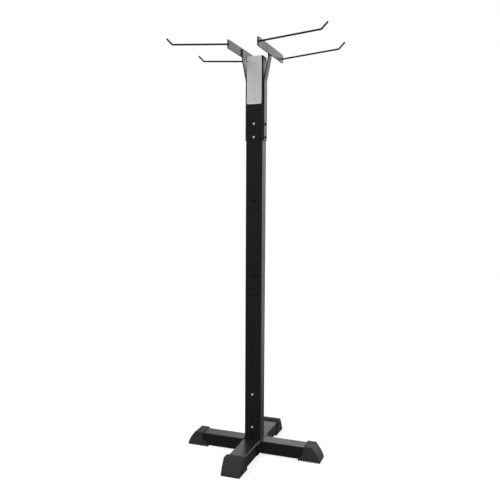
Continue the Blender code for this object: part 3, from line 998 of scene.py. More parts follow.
@dataclass
class Workshop:
    """Makes finished pieces, and keeps the materials that they share."""

    materials: dict[Slot, Material]

    @classmethod
    def open(cls) -> "Workshop":
        """A workshop with every finish built."""
        return cls({finish.slot: finish.material() for finish in FINISHES})

    def mesh(self, name: str, patches: Sequence[Patch]) -> Mesh:
        """One closed mesh from patches that share their borders.

        Args:
            name: The mesh's name.
            patches: Patches in rack coordinates.

        Returns:
            The mesh with doubles merged and its faces pointing outwards.
        """
        faces: list[list[int]] = []
        start = 0
        for patch in patches:
            faces += (patch.quads + start).tolist() + [(cap + start).tolist() for cap in patch.caps]
            start += len(patch.points)
        mesh = bpy.data.meshes.new(name)
        mesh.from_pydata(np.concatenate([patch.points for patch in patches]), [], faces)
        work = bmesh.new()
        work.from_mesh(mesh)
        bmesh.ops.remove_doubles(work, verts=work.verts, dist=MERGE_DISTANCE)
        bmesh.ops.recalc_face_normals(work, faces=work.faces)
        work.to_mesh(mesh)
        work.free()
        return mesh

    def finish(self, name: str, mesh: Mesh, slot: Slot, nodes: Sequence[str]) -> Object:
        """Shade, paint and mount a mesh as a piece of the rack.

        Args:
            name: The piece's name.
            mesh: Its closed mesh.
            slot: The finish it takes.
            nodes: The solids that it stands for.

        Returns:
            The object, at the origin.
        """
        mesh.shade_smooth()
        mesh.set_sharp_from_angle(angle=SHARP_ANGLE)
        edges = mesh.attributes.new(EDGE_ATTRIBUTE, "FLOAT", "FACE")
        edges.data.foreach_set("value", edge_measure(mesh))
        mesh.materials.clear()
        mesh.materials.append(self.materials[slot])
        piece = placed(name, mesh)
        shading = piece.modifiers.new("flat_faces_stay_flat", "WEIGHTED_NORMAL")
        shading.keep_sharp = True
        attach(piece, "root")
        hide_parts(*nodes)
        LOG.info("%s: %d faces, for %s", name, len(mesh.polygons), ", ".join(nodes))
        return piece

    def make(self, name: str, patches: Sequence[Patch], slot: Slot, *nodes: str) -> Object:
        """Make a piece from patches in rack coordinates, to stand for some solids."""
        return self.finish(name, self.mesh(name, patches), slot, nodes)

    def dress(self, node: str, slot: Slot) -> None:
        """Give a solid that keeps its form one of the finishes.

        Args:
            node: The solid.
            slot: The finish it takes.
        """
        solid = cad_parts[node]
        solid.data.materials.clear()
        solid.data.materials.append(self.materials[slot])
        LOG.info("%s: kept, with %s", node, self.materials[slot].name)


@dataclass(frozen=True)
class BoltKind:
    """Sizes of a button-head bolt that its solid's box doesn't give."""

    head: float
    socket: float
    socket_depth: float
    shank: float
    # Share of the head's radius that keeps the base colour. Outside it the edge colour is a painted
    # rim, so a bright head shows a painted highlight in its middle.
    bright: float = 0.62


FRAME_BOLT = BoltKind(head=0.0044, socket=0.0025, socket_depth=0.0026, shank=0.004)
PLATE_SCREW = BoltKind(head=0.0018, socket=0.0012, socket_depth=0.001, shank=0.002, bright=1.0)


@dataclass(frozen=True)
class Fasteners:
    """Bolts, nuts and washers, each turned about its own axis."""

    shop: Workshop
    head_flat: float = 0.6
    head_base: float = 0.2
    dome_steps: int = 8
    rim: float = 0.00025
    well_rise: float = 0.0004
    well_share: float = 0.3
    thread_pitch: float = 0.00125
    thread_depth: float = 0.0006
    thread_length: float = 0.013
    thread_rings: int = 85
    plain_rings: int = 6
    tip_length: float = 0.0008
    tip_depth: float = 0.0009
    nut_rises: tuple[float, ...] = (0.0, 0.12, 0.3, 0.5, 0.7, 0.88, 1.0)
    nut_chamfer: float = 0.96
    nut_slope: float = 1.9
    sink: float = 0.0006
    washer_round: float = 0.35

    def bolt(self, node: str, out: Points, slot: Slot, kind: BoltKind = FRAME_BOLT) -> None:
        """Button-head bolt with a hexagon socket.

        The head's outline is (f + (1 - f) cos t, b + (1 - b) sin t) in shares of its radius and
        height. The thread is R - d (1 - |1 - 2 frac(z / pitch - a / 2 pi)|), cut at the tip.

        Args:
            node: The solid it stands for, whose box gives its place and length.
            out: Unit vector from the tip to the head.
            slot: Its finish.
            kind: Its other sizes. Outside its highlight share of the head's radius, the bolt takes
            the finish's edge colour as a painted rim: on bright zinc a painted dark reflection
            round the middle, which stays bright as a painted highlight, and on black zinc a
            lighter painted rim.
        """
        solid = Solid(node)
        length, width, _ = solid.measures(out)
        head, socket, radius = kind.head, kind.socket, width / 2
        floor, length = head - kind.socket_depth, length - head
        axes = Axes.facing(solid.face(out) - head * out, out)
        turn = np.linspace(0.0, math.pi / 2, self.dome_steps + 1)
        dome = radius * (self.head_flat + (1 - self.head_flat) * np.cos(turn))
        rise = head * (self.head_base + (1 - self.head_base) * np.sin(turn))
        head_rings = turned(
            np.concatenate([[kind.shank, radius - self.rim, radius], dome]),
            np.concatenate([[0.0, 0.0, self.rim], rise]),
        )
        well = turned(
            np.array([socket + self.rim, socket, socket, socket / 2]),
            np.array([head, head - self.rim, floor, floor]),
            hexagon(),
        )
        pit = turned(np.array([socket * self.well_share]), np.array([floor - self.well_rise]))
        height = -length + np.linspace(0.0, self.thread_length, self.thread_rings)
        angle = np.arange(ROUND_STEPS) / ROUND_STEPS
        phase = (height[:, None] / self.thread_pitch - angle) % 1.0
        tip = np.clip((height + length) / self.tip_length, 0.0, 1.0)[:, None]
        groove = self.thread_depth * (1.0 - np.abs(1.0 - 2.0 * phase))
        full = kind.shank - groove - self.tip_depth * (1.0 - tip)
        full[-self.plain_rings :] = kind.shank
        thread = turned(np.ones(height.size), height, full)
        rings = np.concatenate([thread, head_rings, well, pit])
        piece = self.shop.make(f"{node}_turned", [skin(axes.world(rings))], slot, node)
        # Painted rim: faces beyond the highlight share take the edge colour, a painted reflection
        # round the head's middle.
        centre = read(piece.data.polygons, "center", 3) - solid.middle
        away = np.linalg.norm(np.cross(centre, out), axis=1)
        shown = (away > kind.bright * radius).astype(float)
        piece.data.attributes[EDGE_ATTRIBUTE].data.foreach_set("value", shown)

    def nut(self, node: str, out: Points, slot: Slot) -> None:
        """Hexagon nut: the smaller of a hexagon and a cone outside, and a countersunk bore.

        Args:
            node: The solid it stands for.
            out: Unit vector along its bore.
            slot: Its finish.
        """
        height, _, width = Solid(node).measures(out)
        rise = np.array(self.nut_rises) * height
        cone = width / 2 * self.nut_chamfer + self.nut_slope * np.minimum(rise, height - rise)
        reach = np.minimum(width / 2 * hexagon()[None, :], cone[:, None])
        outer = turned(np.ones(rise.size), rise - height, reach)
        inner = turned(
            NUT_BORE + self.sink * np.array([1.0, 0.0, 0.0, 1.0]),
            np.array([0.0, -self.sink, self.sink - height, -height]),
        )
        self.ring(node, out, slot, np.concatenate([outer, inner]))

    def washer(self, node: str, out: Points, slot: Slot) -> None:
        """Flat washer with one rounded face, as stamping leaves it.

        Args:
            node: The solid it stands for.
            out: Unit vector out of its rounded face.
            slot: Its finish.
        """
        thick, width, _ = Solid(node).measures(out)
        radius = width / 2
        reach, drop = quarter(thick * self.washer_round)
        edge = radius - reach[-1] + reach
        rings = turned(
            np.array([NUT_BORE + self.rim, *edge, radius, radius - self.rim, NUT_BORE, NUT_BORE]),
            np.array([0.0, *-drop, self.rim - thick, -thick, -thick, -self.rim]),
        )
        self.ring(node, out, slot, rings)

    def ring(self, node: str, out: Points, slot: Slot, rings: Points) -> None:
        """Make a bored piece from rings that run from its outer face round it and back inside."""
        axes = Axes.facing(Solid(node).face(out), out)
        self.shop.make(f"{node}_turned", [skin(axes.world(rings), joined=True)], slot, node)


@dataclass(frozen=True)
class Shoe:
    """Moulded shoe over a base tube's end: a side outline carried across its width."""

    shop: Workshop
    side: Side
    tube_width: float
    tube_height: float
    tube_end: float = 0.288
    sole: float = 0.006
    crown: float = 0.070
    toe: float = 0.0447
    toe_rise: float = 0.010
    crest: float = 0.0077
    collar: float = 0.034
    lip: float = 0.060
    lip_height: float = 0.012
    lip_rise: float = 0.033
    pocket: float = 0.1
    bulge: float = 0.0035
    ribs: int = 4
    rib_width: float = 0.004
    rib_height: float = 0.002
    rib_margin: float = 0.002
    grooves: int = 8
    groove_width: float = 0.005
    groove_depth: float = 0.004
    end_land: float = 0.0075
    small_round: float = 0.0009
    cheek_round: float = 0.0006
    nose_round: float = 0.003
    toe_round: float = 0.004
    end_round: float = 0.0012
    collar_round: float = 0.003
    lip_round: float = 0.002
    nose_steps: int = 6
    corner_steps: int = 4

    def teeth(
        self, start: float, end: float, count: int, width: float, foot: float, rise: float
    ) -> list[tuple[float, float, float]]:
        """Corners of evenly spaced square ribs or grooves.

        Args:
            start: Distance out of the first one's first side.
            end: Distance out of the last one's last side.
            count: How many there are.
            width: Distance from a first side to its last one, with the sign of end - start.
            foot: Height of the line that they stand on.
            rise: How far they stand above it, or hollow it out.

        Returns:
            Four corners for each, as (distance out, height, rounding).
        """
        return [
            (near + shift * width, foot + height * rise, self.small_round)
            for near in start + (end - width - start) / (count - 1) * np.arange(count)
            for shift, height in ((0.0, 0.0), (0.0, 1.0), (1.0, 1.0), (1.0, 0.0))
        ]

    def corners(self) -> tuple[Points, Points, Points]:
        """Corners of the side outline.

        Returns:
            Each corner as (distance out, height), its rounding in the outline, and its rounding
            towards the cheeks, which stays below the outline's own where that turns sharply.
        """
        lip, toe = self.tube_end - self.lip, self.tube_end + self.toe
        crest, collar = self.tube_end + self.crest, self.tube_end - self.collar
        points = [(lip, 0.0, self.small_round)]
        points += self.teeth(
            lip + self.end_land, toe - self.end_land, self.grooves, self.groove_width, 0.0,
            self.groove_depth,
        )
        points.append((toe, 0.0, self.end_round))
        front = len(points)
        start, end = np.array([toe, self.toe_rise]), np.array([crest, self.crown])
        run = end - start
        outward = np.array([run[1], -run[0]]) / np.linalg.norm(run)
        for share in np.linspace(0.0, 1.0, self.nose_steps + 1):
            place = start + run * share + outward * self.bulge * math.sin(math.pi * share)
            points.append((*place, {0.0: self.toe_round, 1.0: self.end_round}.get(share, 0.0)))
        points += self.teeth(
            crest - self.rib_margin, collar + self.rib_margin, self.ribs, -self.rib_width,
            self.crown, self.rib_height,
        )
        points += [
            (collar, self.crown, self.small_round), (collar, self.lip_rise, self.collar_round),
            (lip, self.lip_height, self.lip_round),
        ]
        table = np.array(points)
        cheek = np.full(len(table), self.cheek_round)
        cheek[front : front + self.nose_steps] = self.nose_round
        cheek[front + self.nose_steps] = self.end_round
        return table[:, :2], table[:, 2], cheek

    def outline(self) -> tuple[Points, Points, Points]:
        """The side outline with each corner rounded.

        A corner C with legs to A and B becomes the curve (1 - t)^2 P + 2 t (1 - t) C + t^2 Q, where
        P and Q lie on the legs at the rounding's distance.

        Returns:
            Points, unit outward normals, and each point's rounding towards the cheeks.
        """
        corner, radius, cheek = self.corners()
        legs = [np.roll(corner, shift, axis=0) - corner for shift in (1, -1)]
        lengths = [np.linalg.norm(leg, axis=1, keepdims=True) for leg in legs]
        reach = np.minimum(radius[:, None], np.minimum(*lengths) * LEG_SHARE)
        start, end = (corner + leg / length * reach for leg, length in zip(legs, lengths))
        share = np.linspace(0.0, 1.0, self.corner_steps + 1)[None, :, None]
        curve = (1 - share) ** 2 * start[:, None] + 2 * share * (1 - share) * corner[:, None]
        line = (curve + share**2 * end[:, None]).reshape(-1, 2)
        apart = np.linalg.norm(line - np.roll(line, 1, axis=0), axis=1) > LEAST_STEP
        line, cheek = line[apart], np.repeat(cheek, share.size)[apart]
        along = np.roll(line, -1, axis=0) - np.roll(line, 1, axis=0)
        normal = stacked(along[:, 1], -along[:, 0]) / np.linalg.norm(along, axis=1, keepdims=True)
        return line, normal, cheek

    def build(self) -> None:
        """Carry the outline across the shoe and cut the tube's pocket out.

        The section at a share s of the cheek's rounding w is the outline drawn in along its
        normals by w (1 - cos t), at the place w (1 - sin t) in from the cheek's face.
        """
        node = f"foot_{self.side.word}"
        half = Solid(node).measures(self.side.out)[1] / 2
        line, normal, cheek = self.outline()
        turn = np.linspace(0.0, math.pi / 2, CURVE_STEPS + 1)[:, None]
        inset = cheek * (1 - np.cos(turn))
        place = half - cheek * (1 - np.sin(turn))
        section = line - inset[..., None] * normal
        rings = stacked(section[..., 0], section[..., 1], place)
        mirrored = rings[::-1] * np.array([1.0, 1.0, -1.0])
        axes = Axes(np.zeros(3), self.side.out, UP, np.cross(self.side.out, UP))
        name = f"shoe_{self.side.word}"
        body = self.shop.mesh(name, [skin(axes.world(np.concatenate([mirrored, rings])))])
        pocket = Tube(
            self.tube_width + 2 * GAP, self.tube_height + 2 * GAP, self.pocket, TUBE_CORNER + GAP
        )
        loop = pocket.wrapped(stacked(pocket.arcs(CURVE_STEPS), 0.0, 0.0))
        ends = self.tube_end + np.array([[-self.pocket], [GAP]])
        ring = stacked(ends, self.sole + self.tube_height / 2 + loop[:, 1], loop[:, 0])
        cutter = self.shop.mesh("pocket_cutter", [skin(axes.world(ring))])
        self.shop.finish(name, cut_away(body, cutter), Slot.MOULDED, [node])


def cut_away(body: Mesh, cutter: Mesh) -> Mesh:
    """What is left of one closed mesh after another is cut from it.

    Args:
        body: The mesh that is cut.
        cutter: The mesh that is taken away.

    Returns:
        A new mesh; the two given ones are removed.
    """
    holder, tool = placed("body", body), placed("tool", cutter)
    cutting = holder.modifiers.new("cut", "BOOLEAN")
    cutting.operation, cutting.solver, cutting.object = "DIFFERENCE", "EXACT", tool
    graph = bpy.context.evaluated_depsgraph_get()
    left = bpy.data.meshes.new_from_object(holder.evaluated_get(graph))
    for item in (holder, tool):
        bpy.data.objects.remove(item)
    for mesh in (body, cutter):
        bpy.data.meshes.remove(mesh)
    return left


def side_beads(place: Points, half: float, high: float, out: Points, size: float) -> list[Patch]:
    """Two upright weld beads, in front of and behind a piece that meets a face.

    Args:
        place: Lower end of the piece's middle line on the face.
        half: Distance from there to each bead.
        high: Height of the beads' upper ends.
        out: Unit vector out of the face.
        size: Leg of the beads.

    Returns:
        The beads.
    """
    starts = [place + half * end.out for end in ENDS]
    rise = UP * (high - place[2])
    return [fillet(start, start + rise, out, end.out, size) for start, end in zip(starts, ENDS)]


@dataclass(frozen=True)
class Base:
    """Beam, two arms with their flanges, the flange bolts and four shoes."""

    shop: Workshop
    flange_corner: float = 0.004
    flange_rim: float = 0.0007
    flange_margin: float = 0.012
    bead: float = 0.0035
    bead_inset: float = 0.004

    def tube(self, node: str, out: Points, holes: Callable[[Tube], Sequence[Hole]]) -> None:
        """A base tube from its solid's box.

        Args:
            node: The solid it stands for.
            out: Level unit vector along it.
            holes: Gives the holes in its wall.
        """
        solid = Solid(node)
        length, width, height = solid.measures(out)
        tube = Tube(width, height, length)
        axes = Axes(solid.face(-out), np.cross(UP, out), UP, out)
        patches = moved(tube.patches(holes(tube)), axes.world)
        self.shop.make(f"{node}_tube", patches, Slot.PAINT, node)

    def build_beam(self) -> None:
        """Front-to-back tube, with holes for the flange bolts in both sides."""
        start = Solid("base_beam").corners[0][1]
        ends = [Solid(f"flange_bolt_{side.word}").middle[1] - start for side in ENDS]

        def holes(tube: Tube) -> list[Hole]:
            """Holes of both bolts in the two upright faces."""
            faces = (tube.face(Side.RIGHT), tube.face(Side.LEFT))
            return [Hole(face, end, HOLE_RADIUS) for face in faces for end in ends]

        self.tube("base_beam", Side.REAR.out, holes)

    def build_arm(self, side: Side) -> None:
        """Arm tube, and its flange with two beads of weld beside the arm.

        Args:
            side: The side of the beam that the arm is on.
        """
        self.tube(f"arm_{side.word}", side.out, lambda tube: [])
        node = f"flange_{side.word}"
        solid = Solid(node)
        axes = Axes.facing(solid.face(side.out), side.out)
        places = [Solid(f"flange_bolt_{end.word}").middle[1] for end in ENDS]
        holes = [Hole(place * axes.across[1], 0.0, HOLE_RADIUS) for place in places]
        thick, width, height = solid.size
        slab = Slab(width, height, thick, self.flange_corner, self.flange_rim)
        patches = moved(slab.patches(holes, (self.flange_margin,)), axes.sheet)
        face = solid.face(side.out)[0] + side.sign * BEAD_GAP
        low, high = solid.corners[:, 2] + self.bead_inset * np.array([1.0, -1.0])
        half = Solid(f"arm_{side.word}").size[1] / 2 + BEAD_GAP
        patches += side_beads(np.array([face, 0.0, low]), half, high, side.out, self.bead)
        self.shop.make(f"{node}_welded", patches, Slot.PAINT, node)

    def build(self, fasteners: Fasteners) -> None:
        """Build the whole base.

        Args:
            fasteners: Makes its bolts, nuts and washers.
        """
        self.build_beam()
        width, _, height = Solid("base_beam").size
        for side in FLANKS:
            self.build_arm(side)
        for side in Side:
            Shoe(self.shop, side, width, height).build()
        for end in ENDS:
            fasteners.bolt(f"flange_bolt_{end.word}", Side.RIGHT.out, Slot.DARK)
            fasteners.nut(f"flange_nut_{end.word}", Side.LEFT.out, Slot.DARK)
            for side in FLANKS:
                fasteners.washer(f"flange_washer_{side.word}_{end.word}", side.out, Slot.DARK)


@dataclass(frozen=True)
class Post:
    """Drilled upright tube with its cap, name plate and face bolts."""

    shop: Workshop
    screw_radius: float = 0.0023
    first_hole: float = 0.032
    spacing: float = 0.060
    pitch: float = 0.350
    levels: int = 5
    skirt_lead: float = 0.0006
    skirt_ease: float = 0.001
    cap_round: float = 0.0014
    crown: float = 0.0004
    crown_rings: tuple[tuple[float, float], ...] = ((0.7, 0.00025), (0.35, 0.00037), (0.1, 0.0004))
    plate_corner: float = 0.005
    plate_rim: float = 0.0006
    border: float = 0.0026
    border_slope: float = 0.0009
    border_steps: int = 3
    border_depth: float = 0.0004

    def hole_heights(self) -> Points:
        """Heights of the holes over the tube's lower end: first + level pitch + step spacing."""
        level, step = np.meshgrid(np.arange(self.levels), np.arange(2), indexing="ij")
        return (self.first_hole + level * self.pitch + step * self.spacing).ravel()

    def build_tube(self) -> None:
        """The post, with hole pairs in all faces, and holes for the spigot bolts and the screws."""
        solid = Solid("post")
        tube = Tube(*solid.size)
        bottom = solid.corners[0][2]
        faces, heights = {side: tube.face(side) for side in Side}, self.hole_heights()
        holes = [Hole(face, height, HOLE_RADIUS) for face in faces.values() for height in heights]
        for level in LEVELS:
            height = Solid(f"spigot_bolt_{level}").middle[2] - bottom
            holes += [Hole(faces[side], height, HOLE_RADIUS) for side in ENDS]
            height = Solid(f"plate_screw_{level}").middle[2] - bottom
            holes.append(Hole(faces[Side.FRONT], height, self.screw_radius))
        axes = Axes(solid.face(-UP), *np.eye(3))
        self.shop.make("post_tube", moved(tube.patches(holes), axes.world), Slot.PAINT, "post")

    def build_cap(self) -> None:
        """Moulded cap: a skirt in the tube, an eased head over its end and a crowned top."""
        post = Solid("post")
        tube = Tube(post.size[0], post.size[1], 0.0)
        low, high = Solid("post_cap").corners[:, 2]
        seat = post.corners[1][2] + GAP
        reach, drop = quarter(self.cap_round, CURVE_STEPS)
        inner = TUBE_WALL + GAP
        insets = [inner + self.skirt_lead, inner, inner, GAP, 0.0, *(self.cap_round - reach[::-1])]
        shoulder = high - drop[::-1] - self.crown
        heights = [low, low + self.skirt_ease, seat, seat, seat + GAP, *shoulder]
        rings = [tube.wrapped(stacked(tube.arcs(), *place)) for place in zip(heights, insets)]
        last = rings[-1]
        for share, rise in self.crown_rings:
            rings.append(last * np.array([share, share, 1.0]) + rise * UP)
        body = skin(np.stack(rings) + post.middle * (1.0 - UP))
        self.shop.make("post_cap_moulded", [body], Slot.MOULDED, "post_cap")

    def build_plate(self) -> None:
        """Bare name plate: a panel that is sunk a little inside a plain border."""
        solid = Solid("name_plate")
        width, thick, height = solid.size
        slab = Slab(width, height, thick, self.plate_corner, self.plate_rim)
        axes = Axes.facing(solid.face(Side.FRONT.out), Side.FRONT.out)
        places = [Solid(f"plate_screw_{level}").middle[2] - solid.middle[2] for level in LEVELS]
        holes = [Hole(0.0, place, self.screw_radius) for place in places]

        def sunk(points: Points) -> Points:
            """Add s (1 - depth / thickness) to the depth, where s rises smoothly inside the border.

            Args:
                points: Points of the sheet.

            Returns:
                The moved points.
            """
            share = np.clip((slab.margin(points) - self.border) / self.border_slope, 0.0, 1.0)
            sink = self.border_depth * share * share * (3 - 2 * share)
            return points + sink[:, None] * (1 - points[:, 2:] / slab.thickness) * UP

        steps = np.arange(self.border_steps + 1) / self.border_steps
        margins = self.border + steps * self.border_slope
        patches = moved(slab.patches(holes, margins), sunk, axes.sheet)
        self.shop.make("name_plate_bare", patches, Slot.PLATE, "name_plate")

    def build(self, fasteners: Fasteners) -> None:
        """Build the post and all that is fixed to its faces.

        Args:
            fasteners: Makes its bolts, nuts, washers and screws.
        """
        self.build_tube()
        self.build_cap()
        self.build_plate()
        for level in LEVELS:
            fasteners.bolt(f"plate_screw_{level}", Side.FRONT.out, Slot.BRIGHT, PLATE_SCREW)
            fasteners.bolt(f"spigot_bolt_{level}", Side.FRONT.out, Slot.BRIGHT)
            fasteners.washer(f"spigot_washer_{level}", Side.REAR.out, Slot.BRIGHT)
            fasteners.nut(f"spigot_nut_{level}", Side.REAR.out, Slot.BRIGHT)
            for side in ENDS:
                fasteners.bolt(f"face_bolt_{side.word}_{level}", side.out, Slot.BRIGHT)
                self.shop.dress(f"face_nut_{side.word}_{level}", Slot.BRIGHT)
        self.shop.dress("post_spigot", Slot.PAINT)


@dataclass(frozen=True)
class Head:
    """Straps, crossbars and hooks on both sides of the post's top."""

    shop: Workshop
    strap_thickness: float = 0.005
    strap_corner: float = 0.003
    strap_rim: float = 0.0008
    margin: float = 0.002
    strap_tail: float = 0.015
    lower_bend: float = 0.256
    upper_bend: float = 0.354
    spread: float = 0.0195
    strap_bend_radius: float = 0.012
    bar_thickness: float = 0.006
    bar_corner: float = 0.010
    bar_rim: float = 0.0008
    bar_drilling: Drilling = Drilling(half=0.0065, rim=0.0003)
    bore_reach: float = 0.0045
    rod_radius: float = 0.004
    rod_steps: int = 32
    cut_ease: float = 0.0005
    cut_shares: tuple[float, ...] = (0.0, 0.4, 1.0)
    cut_drop: float = 0.0004
    collar_gap: float = 0.0002
    rise: float = math.radians(4.8)
    rod_length: float = 0.270
    tip_length: float = 0.039
    tip_angle: float = math.radians(41.0)
    rod_bend_radius: float = 0.014
    rod_stops: int = 12
    stop_digits: int = 7
    tail: float = 0.002
    plain_margin: float = 0.02
    bead: float = 0.003
    collar_share: float = 0.85
    ripple_share: float = 0.1
    ripples: int = 11

    def build_strap(self, side: Side) -> None:
        """Flat bar bent twice: a drilled slab carried along its inner face's bent line.

        Args:
            side: The side of the post that it is bolted to.
        """
        node = f"strap_{side.word}"
        solid = Solid(node)
        low, high = solid.corners[:, 2]
        inner = np.abs(solid.corners[:, 0]).min()
        datum, outer = low + self.strap_tail, inner + self.spread
        bends = (inner, datum + self.lower_bend), (outer, datum + self.upper_bend)
        line = BentLine(((inner, low), *bends, (outer, high)), self.strap_bend_radius)
        width, half = solid.size[1], line.length / 2
        slab = Slab(width, line.length, self.strap_thickness, self.strap_corner, self.strap_rim)
        places = [Solid(f"strap_bolt_{side.word}_{level}").middle[2] for level in LEVELS]
        holes = [Hole(0.0, place - low - half, HOLE_RADIUS) for place in places]

        def bent(points: Points) -> Points:
            """Carry the sheet along the line, out from it by the thickness less the depth.

            Args:
                points: Points of the sheet.

            Returns:
                The moved points.
            """
            place, normal = line.at(points[:, 1] + half)
            reach = place - (self.strap_thickness - points[:, 2:]) * normal
            return stacked(side.sign * reach[:, 0], points[:, 0], reach[:, 1])

        patches = moved(slab.patches(holes, (self.margin,), line.table()[0][1:-1] - half), bent)
        bar = Solid(f"crossbar_{side.word}").corners
        inside = side.sign * (np.abs(bar[:, 0]).min() - BEAD_GAP)
        place = np.array([inside, 0.0, bar[0][2] + self.margin])
        patches += side_beads(place, width / 2 + BEAD_GAP, high - self.margin, -side.out, self.bead)
        self.shop.make(f"{node}_bent", patches, Slot.PAINT, node)

    def build_crossbar(self, side: Side) -> None:
        """Flat bar with round corners, bored at both ends for the rods.

        Args:
            side: The side of the post that it is on.
        """
        node = f"crossbar_{side.word}"
        solid = Solid(node)
        axes = Axes.facing(solid.face(side.out), side.out)
        places = [Solid(f"hook_{side.word}_{end.word}").middle[1] for end in ENDS]
        holes = [Hole(place * axes.across[1], 0.0, self.rod_radius + GAP) for place in places]
        thick, width, height = solid.size
        slab = Slab(width, height, thick, self.bar_corner, self.bar_rim, self.bar_drilling)

        def bored(points: Points) -> Points:
            """Lower each point near a bore by its depth times the rods' slope, so the bores lean.

            Args:
                points: Points of the sheet.

            Returns:
                The moved points.
            """
            reach = np.abs(np.abs(points[:, 0]) - abs(places[0]))
            away = np.maximum(reach, np.abs(points[:, 1])) / self.bore_reach
            done = points.copy()
            done[:, 1] -= np.clip(2.0 - away, 0.0, 1.0) * points[:, 2] * math.tan(self.rise)
            return done

        patches = moved(slab.patches(holes, (self.margin,)), bored, axes.sheet)
        self.shop.make(f"{node}_bar", patches, Slot.PAINT, node)

    def build_hook(self, side: Side, end: Side) -> None:
        """Round rod along a bent line, with a weld collar at the bar and eased cut ends.

        The surface is C(s) + R(s, a) (cos a N(s) + sin a Y), where C is the bent line with normal
        N, and R is the rod's radius, less at its ends and more in the hollow collar.

        Args:
            side: The side of the post that it reaches out from.
            end: The end of the crossbar that it is in.
        """
        node = f"hook_{side.word}_{end.word}"
        bar = Solid(f"crossbar_{side.word}")
        base = np.array([np.abs(bar.corners[:, 0]).max(), bar.middle[2]])
        slopes = (self.rise, self.rise + self.tip_angle)
        along, steep = (np.array([math.cos(slope), math.sin(slope)]) for slope in slopes)
        back = self.bar_thickness / along[0] + self.tail
        corner = base + self.rod_length * along
        corners = (base - back * along, corner, corner + self.tip_length * steep)
        line = BentLine(corners, self.rod_bend_radius, self.rod_stops)
        total, start = line.length, back + self.collar_gap
        ease = np.array(self.cut_shares) * self.cut_ease
        collar = start + self.bead * np.linspace(0.0, 1.0, RIPPLE_STEPS + 1)
        low, high = back + self.plain_margin, self.rod_length - self.plain_margin
        plain = np.linspace(low, high, self.rod_stops)
        stops = np.concatenate([ease, [back], collar, plain, line.table()[0][1:-1], total - ease])
        stops = np.unique(np.round(stops, self.stop_digits))
        place, normal = line.at(stops)
        turn = 2 * math.pi * np.arange(self.rod_steps) / self.rod_steps
        nearest = np.minimum(stops, total - stops)
        eased = self.rod_radius - self.cut_drop * np.clip(1.0 - nearest / self.cut_ease, 0.0, 1.0)
        share = np.clip((stops - start) / self.bead, 0.0, 1.0)
        swell = self.bead * (1.0 - np.sqrt(1.0 - (1.0 - share) ** 2)) * (stops > back + BEAD_GAP)
        ripple = self.collar_share + self.ripple_share * np.sin(self.ripples * turn)
        radius = eased[:, None] + swell[:, None] * ripple
        flat = place[:, None, :] + (radius * np.cos(turn))[..., None] * normal[:, None, :]
        sideways = Solid(node).middle[1] + radius * np.sin(turn)
        rings = stacked(side.sign * flat[..., 0], sideways, flat[..., 1])
        self.shop.make(f"{node}_rod", [skin(rings)], Slot.PAINT, node)

    def build(self, fasteners: Fasteners) -> None:
        """Build both sides.

        Args:
            fasteners: Makes the straps' bolts.
        """
        for side in FLANKS:
            self.build_strap(side)
            self.build_crossbar(side)
            for end in ENDS:
                self.build_hook(side, end)
            for level in LEVELS:
                fasteners.bolt(f"strap_bolt_{side.word}_{level}", side.out, Slot.DARK)
                self.shop.dress(f"strap_nut_{side.word}_{level}", Slot.BRIGHT)


# Stage


